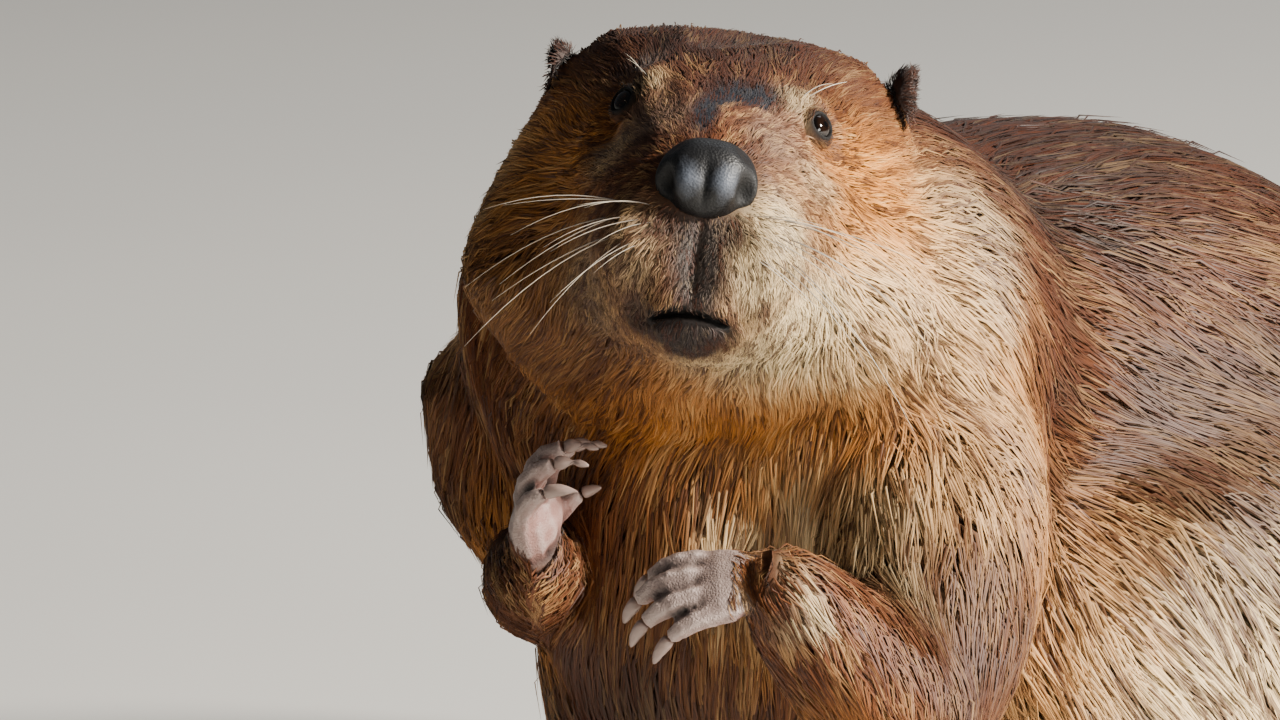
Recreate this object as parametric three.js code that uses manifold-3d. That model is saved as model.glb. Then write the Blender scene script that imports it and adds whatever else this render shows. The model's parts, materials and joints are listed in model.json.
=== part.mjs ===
// A life-size beaver sitting back on its haunches, its head turned to its left and both forepaws raised.
// Millimetres, +Z up. The body faces -Y and its left side is +X. Every outline is that of the coat's tips.
import * as THREE from "three";
import { mergeVertices } from "three/addons/utils/BufferGeometryUtils.js";
import Module from "manifold-3d";

const wasm = await Module();
wasm.setup();

const GAP = 0.5; // clearance cut between two neighbouring pieces
const FACET_SLACK = 0.12; // how far an outline may move when slivers left by a cut are merged
const FLOOR_SLAB = 200; // depth of the block that trims everything below the floor
const v = (x, y, z) => new THREE.Vector3(x, y, z);

const SIGN = { left: 1, right: -1 };

// ---- Pose -----------------------------------------------------------------------------------------------------

const HEAD_ORIGIN = v(0, -85, 326); // where the skull meets the neck, at the height of the nose pad's middle
const HEAD_TURN = 40; // degrees to the animal's left
const HEAD_LIFT = 17; // degrees above level
const HEAD_TILT = 7; // degrees, crown towards the animal's left
const WRIST = { left: v(102, -172, 221), right: v(-11, -171, 211) };
const WEB_THICK = 3;
const HIND_FOOT_X = 118; // from the middle plane to the foot's axis
const HIND_FOOT_Y = 30; // the ankle's place along the body
const HIND_FOOT_SPLAY = 9; // degrees that the toes point outwards
const LEG_BACK = { left: 0, right: 16 }; // how much further back each hind leg stands
const TAIL_ROOT_Y = 312; // where the scaly blade leaves the coat

// ---- Finishes ---------------------------------------------------------------------------------------------------

const finish = (color, roughness) => new THREE.MeshStandardMaterial({ color, roughness, metalness: 0 });
const BACK_COAT = finish(0x5a3a26, 0.75);
const CHEEK_COAT = finish(0x9a6c40, 0.75);
const FOOT_SKIN = finish(0x6d5c58, 0.6);
const DARK_HORN = finish(0x4a3a34, 0.4);
const NOSE_SKIN = finish(0x1d1e21, 0.35);
const EYE_GLOSS = finish(0x0b0908, 0.08);
const TAIL_SCALES = finish(0x34302d, 0.55);

// ---- Solids -----------------------------------------------------------------------------------------------------

// A closed geometry over rings that have the same number of points, each end shut by a fan of triangles.
function loft(rings) {
  const sides = rings[0].length;
  const points = rings.flat();
  const faces = [];
  for (let start = 0; start < points.length - sides; start += sides)
    for (let i = 0; i < sides; i++) {
      const here = start + i;
      const next = start + ((i + 1) % sides);
      faces.push(here, next, here + sides, next, next + sides, here + sides);
    }
  for (let i = 1; i + 1 < sides; i++) {
    const last = points.length - sides;
    faces.push(0, i + 1, i, last, last + i, last + i + 1);
  }
  return new THREE.BufferGeometry().setFromPoints(points).setIndex(faces);
}

// The solid of a closed geometry, whichever way its faces were wound.
function solidOf(geometry) {
  const bare = geometry.clone();
  for (const name of Object.keys(bare.attributes)) if (name !== "position") bare.deleteAttribute(name);
  const merged = mergeVertices(bare, 1e-3);
  const wound = (triVerts) =>
    new wasm.Manifold(
      new wasm.Mesh({ numProp: 3, vertProperties: merged.attributes.position.array, triVerts }),
    );
  const corners = new Uint32Array(merged.index.array);
  const solid = wound(corners);
  return solid.volume() > 0 ? solid : wound(corners.reverse());
}

function geometryOf(solid) {
  const mesh = solid.getMesh();
  return new THREE.BufferGeometry()
    .setAttribute("position", new THREE.BufferAttribute(mesh.vertProperties, 3))
    .setIndex(new THREE.BufferAttribute(mesh.triVerts, 1));
}

// The same solid seen from another group's frame.
const moved = (solid, matrix) => solidOf(geometryOf(solid).applyMatrix4(matrix));

// The largest of a solid's closed bodies: a cut can leave a sliver apart from it.
const mainBody = (solid) => solid.decompose().reduce((most, one) => (one.volume() > most.volume() ? one : most));

function named(name, solid, material) {
  const flat = geometryOf(mainBody(solid.simplify(FACET_SLACK))).toNonIndexed();
  flat.computeVertexNormals();
  const mesh = new THREE.Mesh(flat, material);
  mesh.name = name;
  return mesh;
}

// One cross-section: an egg of that half width, rise above its widest line and drop below it.
// Its crown and its base each have a power: 2 is an ellipse, less is more pointed and more is squarer.
function egg(center, across, up, { half, rise, drop, crown, base }, sides, grow) {
  return Array.from({ length: sides }, (_, i) => {
    const angle = ((i + 0.5) / sides) * 2 * Math.PI;
    const [height, power] = Math.sin(angle) > 0 ? [rise, crown] : [drop, base];
    const bent = (value) => Math.sign(value) * Math.abs(value) ** (2 / power);
    return center
      .clone()
      .addScaledVector(across, (half + grow) * bent(Math.cos(angle)))
      .addScaledVector(up, (height + grow) * bent(Math.sin(angle)));
  });
}

// A limb or body that follows the smooth curve through its stations' places, with egg sections square to it.
function limb(stations, { sides, steps, grow = 0, crown = 2, base = 2 }) {
  const line = new THREE.CatmullRomCurve3(stations.map((s) => s.at));
  const sizes = new THREE.CatmullRomCurve3(
    stations.map(({ r = 0, half = r, rise = r, drop = r }) => v(half, rise, drop)),
  );
  const rings = [];
  for (let i = 0; i <= steps; i++) {
    const along = line.getTangent(i / steps);
    const across = along.clone().cross(v(0, 0, 1)).normalize();
    const up = across.clone().cross(along).normalize();
    const size = sizes.getPoint(i / steps);
    const end = i === 0 ? -grow : i === steps ? grow : 0;
    const center = line.getPoint(i / steps).addScaledVector(along, end);
    rings.push(egg(center, across, up, { half: size.x, rise: size.y, drop: size.z, crown, base }, sides, grow));
  }
  return loft(rings);
}

// Pushes the points near a place out or in, most at the place itself and not at all at its reach.
function dab(geometry, { at, reach, push }) {
  const places = geometry.getAttribute("position");
  for (let i = 0; i < places.count; i++) {
    const point = v().fromBufferAttribute(places, i);
    const near = 1 - point.distanceTo(at) / reach;
    if (near > 0) point.addScaledVector(push, near * near * (3 - 2 * near));
    places.setXYZ(i, point.x, point.y, point.z);
  }
  return geometry;
}

const mirrored = (at, side) => v(side * at.x, at.y, at.z);
const block = (width, depth, height, center) =>
  solidOf(new THREE.BoxGeometry(width, depth, height).translate(center.x, center.y, center.z));
const ball = (radii, center, sides = 14) =>
  solidOf(
    new THREE.SphereGeometry(1, sides, Math.round(sides * 0.7))
      .scale(radii.x, radii.y, radii.z)
      .translate(center.x, center.y, center.z),
  );
const underFloor = block(1200, 1600, FLOOR_SLAB, v(0, 200, -FLOOR_SLAB / 2));
const onFloor = (solid) => solid.subtract(underFloor);

// Turns a group so that its -Y points along forward and its +Z as near to roof as it can.
function aim(group, forward, roof) {
  const back = forward.clone().negate().normalize();
  const across = back.clone().cross(roof).normalize();
  group.quaternion.setFromRotationMatrix(
    new THREE.Matrix4().makeBasis(across, back, across.clone().cross(back)),
  );
  group.updateMatrix();
}

// ---- Head, in its own frame: the nose points along -Y -----------------------------------------------------------

const MUZZLE_END = 151; // from the head's origin to the front of the lips
const MOUTH_LEVEL = -50;
const JAW_HINGE = 100; // how far forward the lower jaw's piece begins
const EYE = { at: v(31.8, -90, 26.5), r: 7 };
const EAR = { at: v(56, -37, 45), r: 14.5, thick: 5, laid: { left: 0, right: 7 } }; // laid: how far each is folded down
const NOSTRIL = { at: v(11.5, -157, -3), radii: v(2.6, 8, 4.6), slant: 25 };

const HEAD_SECTIONS = [
  { forward: -22, level: -26, half: 62, rise: 60, drop: 54 },
  { forward: 5, level: -26, half: 82, rise: 82, drop: 66 },
  { forward: 30, level: -25, half: 87, rise: 91, drop: 60 },
  { forward: 52, level: -23, half: 80, rise: 89, drop: 53 },
  { forward: 74, level: -22, half: 66, rise: 80, drop: 48 },
  { forward: 95, level: -22, half: 53, rise: 65, drop: 44 },
  { forward: 114, level: -23, half: 43, rise: 53, drop: 41 },
  { forward: 130, level: -24, half: 37, rise: 43, drop: 37 },
  { forward: 142, level: -24, half: 31, rise: 34, drop: 32 },
  { forward: 149, level: -24, half: 21, rise: 24, drop: 22 },
  { forward: MUZZLE_END, level: -24, half: 10, rise: 11, drop: 10 },
];

// Soft swellings and hollows of the face, each one made on both sides.
const FACE_DABS = [
  { at: v(30, -48, 54), reach: 34, push: v(2, 0, 4) }, // jaw muscle beside the crown
  { at: v(54, -44, 44), reach: 36, push: v(4, 0, 10) }, // fur in front of the ear
  { at: v(66, -66, 14), reach: 34, push: v(-5, 0, 0) }, // temple
  { at: v(0, -60, 64), reach: 20, push: v(0, 0, -3) }, // hollow along the crown
  { at: v(28, -100, 34), reach: 20, push: v(2, 0, 4) }, // brow
  { at: v(39, -94, 23), reach: 17, push: v(-5, 1, -1) }, // eye hollow
  { at: v(24, -138, -28), reach: 24, push: v(4, -3, 0) }, // whisker pad
  { at: v(72, -60, -32), reach: 46, push: v(13, -4, -4) }, // cheek
];

function headLoft(grow = 0) {
  const stations = HEAD_SECTIONS.map(({ forward, level, ...sizes }) => ({ at: v(0, -forward, level), ...sizes }));
  const geometry = limb(stations, { sides: 22, steps: 14, grow });
  for (const side of [-1, 1])
    for (const { at, reach, push } of FACE_DABS)
      dab(geometry, { at: mirrored(at, side), reach, push: mirrored(push, side) });
  return solidOf(geometry);
}

// The rounded pad that carries the nostrils, with a groove down its middle.
function nosePad(grow = 0) {
  const middle = -1;
  const stations = [
    { at: v(0, -132, middle), half: 14, rise: 12, drop: 12 },
    { at: v(0, -143, middle), half: 17.5, rise: 14.5, drop: 14.5 },
    { at: v(0, -151, middle), half: 18, rise: 14.5, drop: 14.5 },
    { at: v(0, -156.5, middle), half: 14.5, rise: 11.5, drop: 11 },
    { at: v(0, -159, middle), half: 7, rise: 5.5, drop: 5 },
  ];
  return solidOf(limb(stations, { sides: 14, steps: 6, grow, crown: 2.3, base: 2.3 }));
}

function nostril(side) {
  const hole = new THREE.SphereGeometry(1, 7, 5)
    .scale(NOSTRIL.radii.x, NOSTRIL.radii.y, NOSTRIL.radii.z)
    .rotateY(THREE.MathUtils.degToRad(NOSTRIL.slant * side))
    .translate(side * NOSTRIL.at.x, NOSTRIL.at.y, NOSTRIL.at.z);
  return solidOf(hole);
}

// A small round cup that stands out from the side of the crown, open outwards and a little forwards.
function ear(side, grow = 0) {
  const at = EAR.at.clone().add(v(0, 0, side > 0 ? -EAR.laid.left : -EAR.laid.right));
  const r = EAR.r + grow;
  const thick = EAR.thick + grow;
  const profile = [
    [0, 0],
    [r * 0.62, 1],
    [r * 0.9, 4],
    [r, 8],
    [r * 0.9, 9.5],
    [r * 0.68, 4 + thick],
    [r * 0.35, thick],
    [0, thick - 0.5],
  ].map(([x, y]) => new THREE.Vector2(x, y));
  const cup = new THREE.LatheGeometry(profile, 10)
    .scale(0.9, 1, 1.05)
    .translate(0, -grow, 0)
    .rotateZ(THREE.MathUtils.degToRad(-86 * side))
    .translate(side * at.x, at.y, at.z);
  return solidOf(cup);
}

const eyeball = (side, grow = 0) => {
  const r = EYE.r + grow;
  return ball(v(r, r, r), mirrored(EYE.at, side), 10);
};

function makeHead() {
  const group = new THREE.Group();
  group.position.copy(HEAD_ORIGIN);
  const turn = THREE.MathUtils.degToRad(HEAD_TURN);
  const lift = THREE.MathUtils.degToRad(HEAD_LIFT);
  const tilt = THREE.MathUtils.degToRad(HEAD_TILT);
  group.rotation.set(-lift, tilt, turn, "ZXY");
  group.updateMatrix();

  const whole = headLoft();
  const jawBlock = (grow) => block(200, 100, 100, v(0, -JAW_HINGE - 50, MOUTH_LEVEL - 50 + grow));
  const jaw = whole.intersect(jawBlock(-GAP));
  let skull = whole.subtract(jawBlock(0)).subtract(nosePad(GAP));
  for (const side of [-1, 1]) skull = skull.subtract(eyeball(side, GAP));
  const skullAndAir = headLoft(GAP);

  group.add(named("head", skull, BACK_COAT));
  group.add(named("lower_jaw", jaw.subtract(block(200, 2 * GAP, 100, v(0, -JAW_HINGE, -60))), CHEEK_COAT));
  group.add(named("nose", nosePad().subtract(nostril(-1)).subtract(nostril(1)), NOSE_SKIN));
  for (const [label, side] of Object.entries(SIGN)) {
    group.add(named(`eye_${label}`, eyeball(side), EYE_GLOSS));
    group.add(named(`ear_${label}`, ear(side).subtract(skullAndAir), BACK_COAT));
  }
  const earsAndAir = ear(1, GAP).add(ear(-1, GAP));
  return { group, outline: moved(skullAndAir.add(earsAndAir), group.matrix) };
}

// ---- Trunk, neck and tail ---------------------------------------------------------------------------------------

const TRUNK_STATIONS = [
  { at: v(0, 306, 104), half: 22, rise: 24, drop: 22 },
  { at: v(0, 288, 114), half: 86, rise: 88, drop: 76 },
  { at: v(0, 244, 128), half: 124, rise: 138, drop: 122 },
  { at: v(0, 184, 146), half: 142, rise: 160, drop: 150 },
  { at: v(0, 112, 162), half: 148, rise: 175, drop: 170 },
  { at: v(0, 42, 180), half: 137, rise: 170, drop: 176 },
  { at: v(0, -28, 202), half: 110, rise: 151, drop: 156 },
  { at: v(0, -80, 224), half: 79, rise: 124, drop: 128 },
  { at: v(0, -114, 238), half: 58, rise: 88, drop: 92 },
  { at: v(0, -134, 246), half: 38, rise: 50, drop: 54 },
  { at: v(0, -142, 249), half: 14, rise: 16, drop: 16 },
];
const NECK_STATIONS = [
  { at: v(0, 20, 234), half: 92, rise: 90, drop: 80 },
  { at: v(-2, -32, 262), half: 112, rise: 104, drop: 92 },
  { at: v(-2, -70, 286), half: 117, rise: 102, drop: 96 },
  { at: v(2, -96, 300), half: 106, rise: 90, drop: 90 },
  { at: v(6, -112, 306), half: 90, rise: 76, drop: 78 },
];
const TAIL_BASE_STATIONS = [
  { at: v(0, 225, 80), half: 78, rise: 74, drop: 72 },
  { at: v(0, 268, 58), half: 64, rise: 54, drop: 56 },
  { at: v(0, 300, 38), half: 52, rise: 34, drop: 36 },
  { at: v(0, 322, 24), half: 44, rise: 21, drop: 23 },
  { at: v(0, 334, 19), half: 30, rise: 11, drop: 12 },
];
const TAIL_STATIONS = [
  { at: v(0, TAIL_ROOT_Y - 12, 20), half: 32, rise: 13, drop: 15 },
  { at: v(0, TAIL_ROOT_Y + 20, 15), half: 40, rise: 13, drop: 15 },
  { at: v(0, TAIL_ROOT_Y + 70, 11), half: 56, rise: 12, drop: 12 },
  { at: v(0, TAIL_ROOT_Y + 130, 9), half: 66, rise: 11, drop: 10.5 },
  { at: v(0, TAIL_ROOT_Y + 190, 8), half: 65, rise: 9, drop: 9 },
  { at: v(0, TAIL_ROOT_Y + 240, 7), half: 49, rise: 7, drop: 7.5 },
  { at: v(0, TAIL_ROOT_Y + 266, 6), half: 26, rise: 5, drop: 6.5 },
  { at: v(0, TAIL_ROOT_Y + 272, 5.5), half: 10, rise: 3.5, drop: 5 },
];
const trunk = (grow = 0) => solidOf(limb(TRUNK_STATIONS, { sides: 22, steps: 13, grow, base: 2.5 }));
const neck = (grow = 0) => solidOf(limb(NECK_STATIONS, { sides: 18, steps: 5, grow }));
const tailBase = (grow = 0) => solidOf(limb(TAIL_BASE_STATIONS, { sides: 16, steps: 6, grow, base: 2.4 }));
const tail = () => solidOf(limb(TAIL_STATIONS, { sides: 14, steps: 10, crown: 2.2, base: 2.4 }));

// ---- Legs -------------------------------------------------------------------------------------------------------

const SHOULDER_STATIONS = {
  left: [
    { at: v(40, -20, 262), r: 38 },
    { at: v(74, -54, 240), r: 48 },
    { at: v(104, -88, 206), r: 45 },
    { at: v(120, -112, 170), r: 36 },
    { at: v(124, -120, 148), r: 20 },
  ],
  right: [
    { at: v(-38, -22, 264), r: 38 },
    { at: v(-91, -69, 250), r: 56 },
    { at: v(-83, -90, 214), r: 43 },
    { at: v(-53, -104, 190), r: 28 },
    { at: v(-47, -113, 173), r: 18 },
  ],
};
const FOREARM_STATIONS = {
  left: [
    { at: v(124, -110, 162), r: 24 },
    { at: v(122, -128, 172), r: 32 },
    { at: v(113, -152, 197), r: 26 },
    { at: WRIST.left, r: 18 },
    { at: WRIST.left.clone().add(v(-5, -6, 4)), r: 13 },
  ],
  right: [
    { at: v(-50, -101, 182), r: 21 },
    { at: v(-42, -118, 188), r: 24 },
    { at: v(-34, -144, 194), r: 25 },
    { at: WRIST.right, r: 17 },
    { at: WRIST.right.clone().add(v(4, -5, 7)), r: 13 },
  ],
};
const THIGH_STATIONS = [
  { at: v(74, 224, 140), half: 26, rise: 30, drop: 34 },
  { at: v(84, 192, 142), half: 66, rise: 74, drop: 84 },
  { at: v(92, 128, 148), half: 82, rise: 108, drop: 116 },
  { at: v(96, 64, 150), half: 80, rise: 112, drop: 118 },
  { at: v(100, 4, 144), half: 66, rise: 94, drop: 100 },
  { at: v(102, -36, 134), half: 44, rise: 58, drop: 64 },
  { at: v(102, -54, 128), half: 16, rise: 18, drop: 20 },
];
const SHANK_STATIONS = [
  { at: v(104, -56, 94), r: 18 },
  { at: v(108, -34, 82), r: 40 },
  { at: v(112, 4, 62), r: 44 },
  { at: v(117, 48, 38), r: 34 },
  { at: v(118, 78, 25), r: 19 },
];
const upperArm = (label, grow = 0) => solidOf(limb(SHOULDER_STATIONS[label], { sides: 12, steps: 6, grow }));
const forearm = (label, grow = 0) => solidOf(limb(FOREARM_STATIONS[label], { sides: 10, steps: 6, grow }));
const legOf = (stations, label) =>
  stations.map(({ at, ...sizes }) => ({ at: mirrored(at, SIGN[label]).add(v(0, LEG_BACK[label], 0)), ...sizes }));
const thigh = (label, grow = 0) => solidOf(limb(legOf(THIGH_STATIONS, label), { sides: 16, steps: 8, grow, base: 2.3 }));
const shank = (label, grow = 0) => solidOf(limb(legOf(SHANK_STATIONS, label), { sides: 10, steps: 4, grow }));

// ---- Toes and claws, in a foot's frame: the toes point along -Y and the back of the foot faces +Z -----------------

// The places along an arc that starts at a slope and bends down evenly to a lower one, both in degrees.
function arc(start, { splay, length, from, to, parts }) {
  const heading = THREE.MathUtils.degToRad(splay);
  const places = [start];
  for (let i = 0; i < parts; i++) {
    const slope = THREE.MathUtils.degToRad(from + ((to - from) * (i + 0.5)) / parts);
    const level = Math.cos(slope);
    const step = v(Math.sin(heading) * level, -Math.cos(heading) * level, Math.sin(slope));
    places.push(places[i].clone().addScaledVector(step, length / parts));
  }
  return places;
}

// A toe that leaves the foot and bends down, and the claw that goes on from its end.
function toe({ at, splay, length, r, from, to, claw }, steps) {
  const bones = arc(at, { splay, length, from, to, parts: 5 });
  const flesh = bones.map((place, i) => ({ at: place, r: r * [0.95, 1.04, 0.98, 0.96, 0.86, 0.62][i] }));
  const start = arc(bones.at(-1), { splay, length: 2 * GAP, from: to, to, parts: 1 })[1];
  const horn = arc(start, { splay, length: claw.length, from: to, to: to - claw.bend, parts: 3 });
  const clawSizes = horn.map((place, i) => {
    const size = claw.r * [1, 0.95, 0.7, 0.22][i];
    return { at: place, half: size * claw.flat, rise: size, drop: size };
  });
  return {
    flesh: solidOf(limb(flesh, { sides: 6, steps })),
    horn: solidOf(limb(clawSizes, { sides: 5, steps: 3 })),
  };
}

const FORE_CLAW = { length: 12.5, r: 2.6, flat: 0.9, bend: 25 };
const THUMB_CLAW = { length: 7, r: 2.2, flat: 1, bend: 10 };
const HIND_CLAW = { length: 17, r: 3.4, flat: 1.3, bend: 10 };

// The thumb or innermost toe first; x grows towards the little finger or outer toe.
const FORE_TOES = [
  { at: v(-11, -9, -4), splay: -34, length: 15, r: 4.4, from: 0, to: -45, claw: THUMB_CLAW },
  { at: v(-11, -19, 0), splay: -8, length: 26, r: 5.1, from: 14, to: -50, claw: FORE_CLAW },
  { at: v(-3.5, -21, 1), splay: -2, length: 29, r: 5.3, from: 14, to: -52, claw: FORE_CLAW },
  { at: v(4.5, -20, 0.5), splay: 4, length: 28, r: 5.2, from: 14, to: -52, claw: FORE_CLAW },
  { at: v(11.5, -16, -1), splay: 10, length: 23, r: 4.8, from: 12, to: -48, claw: FORE_CLAW },
];
const HIND_TOES = [
  { at: v(-27, -50, 9), splay: -24, length: 44, r: 7, from: 2, to: -8, claw: HIND_CLAW },
  { at: v(-15, -58, 10), splay: -12, length: 56, r: 7.6, from: 4, to: -10, claw: HIND_CLAW },
  { at: v(-1, -61, 10), splay: -1, length: 64, r: 8, from: 4, to: -10, claw: HIND_CLAW },
  { at: v(13, -58, 10), splay: 10, length: 63, r: 7.8, from: 4, to: -10, claw: HIND_CLAW },
  { at: v(26, -52, 9), splay: 21, length: 56, r: 7.2, from: 2, to: -8, claw: HIND_CLAW },
];

// Joins a foot's pad and toes into one solid, with the claws apart from it. Curl bends the toes more or less.
function foot(pad, toes, hand, steps, curl = 1) {
  const posed = toes.map(({ at, splay, to, claw, ...rest }) => ({
    ...rest,
    at: mirrored(at, hand),
    splay: splay * hand,
    to: to * curl,
    claw: { ...claw, bend: claw.bend * curl },
  }));
  const made = posed.map((one) => toe(one, steps));
  return { flesh: made.reduce((all, { flesh }) => all.add(flesh), pad), horns: made.map(({ horn }) => horn) };
}

function forepaw(label) {
  const side = SIGN[label];
  const group = new THREE.Group();
  group.position.copy(WRIST[label]);
  const pose = {
    left: { fingers: v(-0.72, -0.62, -0.1), back: v(0.375, -0.42, 0.825), curl: 0.96 },
    right: { fingers: v(0.1, -0.2, 0.95), back: v(-0.85, -0.35, 0.1), curl: 1.35 },
  }[label];
  aim(group, pose.fingers, pose.back);
  const palm = solidOf(
    limb(
      [
        { at: v(0, 9, 0), half: 10, rise: 8, drop: 8 },
        { at: v(0, 0, 0), half: 13, rise: 10, drop: 10 },
        { at: v(0, -12, 0), half: 16, rise: 9, drop: 10.5 },
        { at: v(0, -21, 0), half: 17, rise: 7.5, drop: 9.5 },
        { at: v(0, -26, -1), half: 12, rise: 5, drop: 6 },
      ],
      { sides: 12, steps: 6 },
    ),
  );
  // The thumb lies on the upper side of both raised paws.
  const { flesh, horns } = foot(palm, FORE_TOES, side, 4, pose.curl);
  const arm = moved(forearm(label, GAP), group.matrix.clone().invert());
  group.add(named(`forepaw_${label}`, flesh.subtract(arm), FOOT_SKIN));
  horns.forEach((horn, i) => group.add(named(`forepaw_${label}_claw_${i + 1}`, horn, DARK_HORN)));
  return group;
}

// The web is a thin plate between the innermost and outermost toe, hollowed between each pair.
function web(toes, hand) {
  const along = ({ at, splay, length }, share) => {
    const heading = THREE.MathUtils.degToRad(splay);
    const x = at.x + Math.sin(heading) * length * share;
    return new THREE.Vector2(hand * x, at.y - Math.cos(heading) * length * share);
  };
  const edge = [new THREE.Vector2(hand * -22, -40)];
  toes.forEach((one, i) => {
    if (i > 0) edge.push(along(toes[i - 1], 0.68).add(along(one, 0.68)).multiplyScalar(0.5));
    edge.push(along(one, 0.86));
  });
  edge.push(new THREE.Vector2(hand * 22, -40));
  const plate = new THREE.ExtrudeGeometry(new THREE.Shape(edge), { depth: WEB_THICK, bevelEnabled: false });
  return solidOf(plate.translate(0, 0, WEB_THICK));
}

function hindFoot(label) {
  const side = SIGN[label];
  const group = new THREE.Group();
  group.position.set(side * HIND_FOOT_X, HIND_FOOT_Y + LEG_BACK[label], 0);
  group.rotation.z = THREE.MathUtils.degToRad(HIND_FOOT_SPLAY * side);
  group.updateMatrix();
  const sole = solidOf(
    limb(
      [
        { at: v(0, 58, 15), half: 10, rise: 9, drop: 14 },
        { at: v(0, 44, 17), half: 19, rise: 17, drop: 20 },
        { at: v(0, 8, 16), half: 23, rise: 18, drop: 19 },
        { at: v(0, -28, 13), half: 29, rise: 14, drop: 16 },
        { at: v(0, -58, 9), half: 35, rise: 10, drop: 12 },
        { at: v(0, -72, 7), half: 26, rise: 5, drop: 8 },
      ],
      { sides: 12, steps: 6 },
    ),
  );
  // The innermost toe is the shortest.
  const { flesh, horns } = foot(sole.add(web(HIND_TOES, side)), HIND_TOES, side, 3);
  const neighbours = moved(shank(label, GAP).add(trunk(GAP)), group.matrix.clone().invert());
  group.add(named(`hind_foot_${label}`, onFloor(flesh).subtract(neighbours), FOOT_SKIN));
  horns.forEach((horn, i) => group.add(named(`hind_foot_${label}_claw_${i + 1}`, onFloor(horn), DARK_HORN)));
  return group;
}

// ---- The whole animal -------------------------------------------------------------------------------------------

const beaver = new THREE.Group();
const head = makeHead();
const without = (solid, ...others) => others.reduce((rest, other) => rest.subtract(other), solid);

beaver.add(head.group);
beaver.add(named("trunk", without(onFloor(trunk()), head.outline), BACK_COAT));
beaver.add(named("neck", without(neck(), trunk(GAP), head.outline), CHEEK_COAT));
beaver.add(named("tail_base", without(onFloor(tailBase()), trunk(GAP)), BACK_COAT));
beaver.add(named("tail", without(onFloor(tail()), tailBase(GAP)), TAIL_SCALES));
for (const label of ["left", "right"]) {
  const core = [trunk(GAP), neck(GAP), head.outline];
  const shoulder = without(upperArm(label), ...core);
  const arm = without(forearm(label), upperArm(label, GAP), ...core);
  const haunch = without(onFloor(thigh(label)), upperArm(label, GAP), forearm(label, GAP), ...core);
  const lowerLeg = without(onFloor(shank(label)), thigh(label, GAP), ...core);
  beaver.add(named(`upper_arm_${label}`, shoulder, BACK_COAT));
  beaver.add(named(`forearm_${label}`, arm, CHEEK_COAT));
  beaver.add(named(`thigh_${label}`, haunch, CHEEK_COAT));
  beaver.add(named(`shank_${label}`, lowerLeg, BACK_COAT));
  beaver.add(forepaw(label));
  beaver.add(hindFoot(label));
}

// The origin is on the floor, below the middle of the whole animal.
const box = new THREE.Box3().setFromObject(beaver, true);
const middle = box.getCenter(v());
beaver.position.set(-middle.x, -middle.y, -box.min.z);

export default beaver;
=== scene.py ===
"""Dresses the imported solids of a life-size sitting beaver.

One skin is drawn in under the outline of the solids by the depth of the coat
and is modelled into a face, hands and feet. Over it come the nose, the eyes,
the ears, the claws, the whiskers, the scales of the tail and the tufts of the
coat. Lengths are in millimetres inside the sculpting classes and in metres in
every mesh. +Z is up, the animal's left is +X and its tail points to +Y.
"""

from __future__ import annotations

import json
import logging
import math
from dataclasses import dataclass, field, fields
from enum import Enum
from typing import Any, ClassVar, Iterable, Sequence

import bpy
import numpy as np
from bpy.types import ID, Material, Mesh, Node, NodeSocket, Object
from mathutils import Matrix, Vector
from mathutils.bvhtree import BVHTree
from mathutils.kdtree import KDTree

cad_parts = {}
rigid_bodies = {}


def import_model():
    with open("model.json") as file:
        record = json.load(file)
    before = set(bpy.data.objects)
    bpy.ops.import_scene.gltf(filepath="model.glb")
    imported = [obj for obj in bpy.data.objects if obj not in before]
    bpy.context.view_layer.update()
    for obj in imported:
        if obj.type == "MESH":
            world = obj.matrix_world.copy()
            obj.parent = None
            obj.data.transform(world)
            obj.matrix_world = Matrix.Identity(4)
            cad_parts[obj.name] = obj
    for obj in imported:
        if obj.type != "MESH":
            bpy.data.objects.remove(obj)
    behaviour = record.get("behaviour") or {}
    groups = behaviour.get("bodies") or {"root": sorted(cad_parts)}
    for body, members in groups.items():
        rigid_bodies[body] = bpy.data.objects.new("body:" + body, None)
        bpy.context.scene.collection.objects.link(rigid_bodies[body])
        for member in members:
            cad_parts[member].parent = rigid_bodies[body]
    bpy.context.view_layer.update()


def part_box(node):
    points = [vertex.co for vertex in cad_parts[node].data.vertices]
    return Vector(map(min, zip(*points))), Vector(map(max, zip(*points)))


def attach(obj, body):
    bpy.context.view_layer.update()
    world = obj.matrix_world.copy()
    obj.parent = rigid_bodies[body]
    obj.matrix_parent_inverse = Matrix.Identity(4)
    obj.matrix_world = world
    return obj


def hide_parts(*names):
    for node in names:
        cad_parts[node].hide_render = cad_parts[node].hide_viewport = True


Array = np.ndarray
Place = tuple[float, float, float]
Colour = tuple[float, float, float]
LOG = logging.getLogger("beaver")
MM = 0.001
BAKE_MAP = "OFBake"
BODY = "root"
MIRROR = np.array([-1.0, 1.0, 1.0])
ALONE = False  # the "mirrored" of a form that is only where it is given


class Side(Enum):
    """The two sides of the animal, with the sign of X on each."""

    LEFT = 1
    RIGHT = -1

    @property
    def label(self) -> str:
        """The word that the solids' names use for this side."""
        return self.name.lower()


class Slot(Enum):
    """The material slots that the record names; the coat's regions are sorted into two of them, but no piece
    takes its finish from them.
    """

    BACK = "back_coat"
    FLANK = "flank_coat"
    CLAW = "claw_horn"
    NOSE = "nose_skin"
    EYE = "eye_gloss"
    TAIL = "tail_scales"


# ---- arithmetic


def unit(vectors: Array) -> Array:
    """Scales each row to length one; a row of zeros stays zero."""
    size = np.linalg.norm(vectors, axis=-1, keepdims=True)
    return vectors / np.maximum(size, 1e-12)


def ramp(low: float, high: float, values: Array) -> Array:
    """Rises smoothly from 0 at low to 1 at high; low may be the larger."""
    t = np.clip((values - low) / (high - low), 0.0, 1.0)
    return t * t * (3.0 - 2.0 * t)


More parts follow.
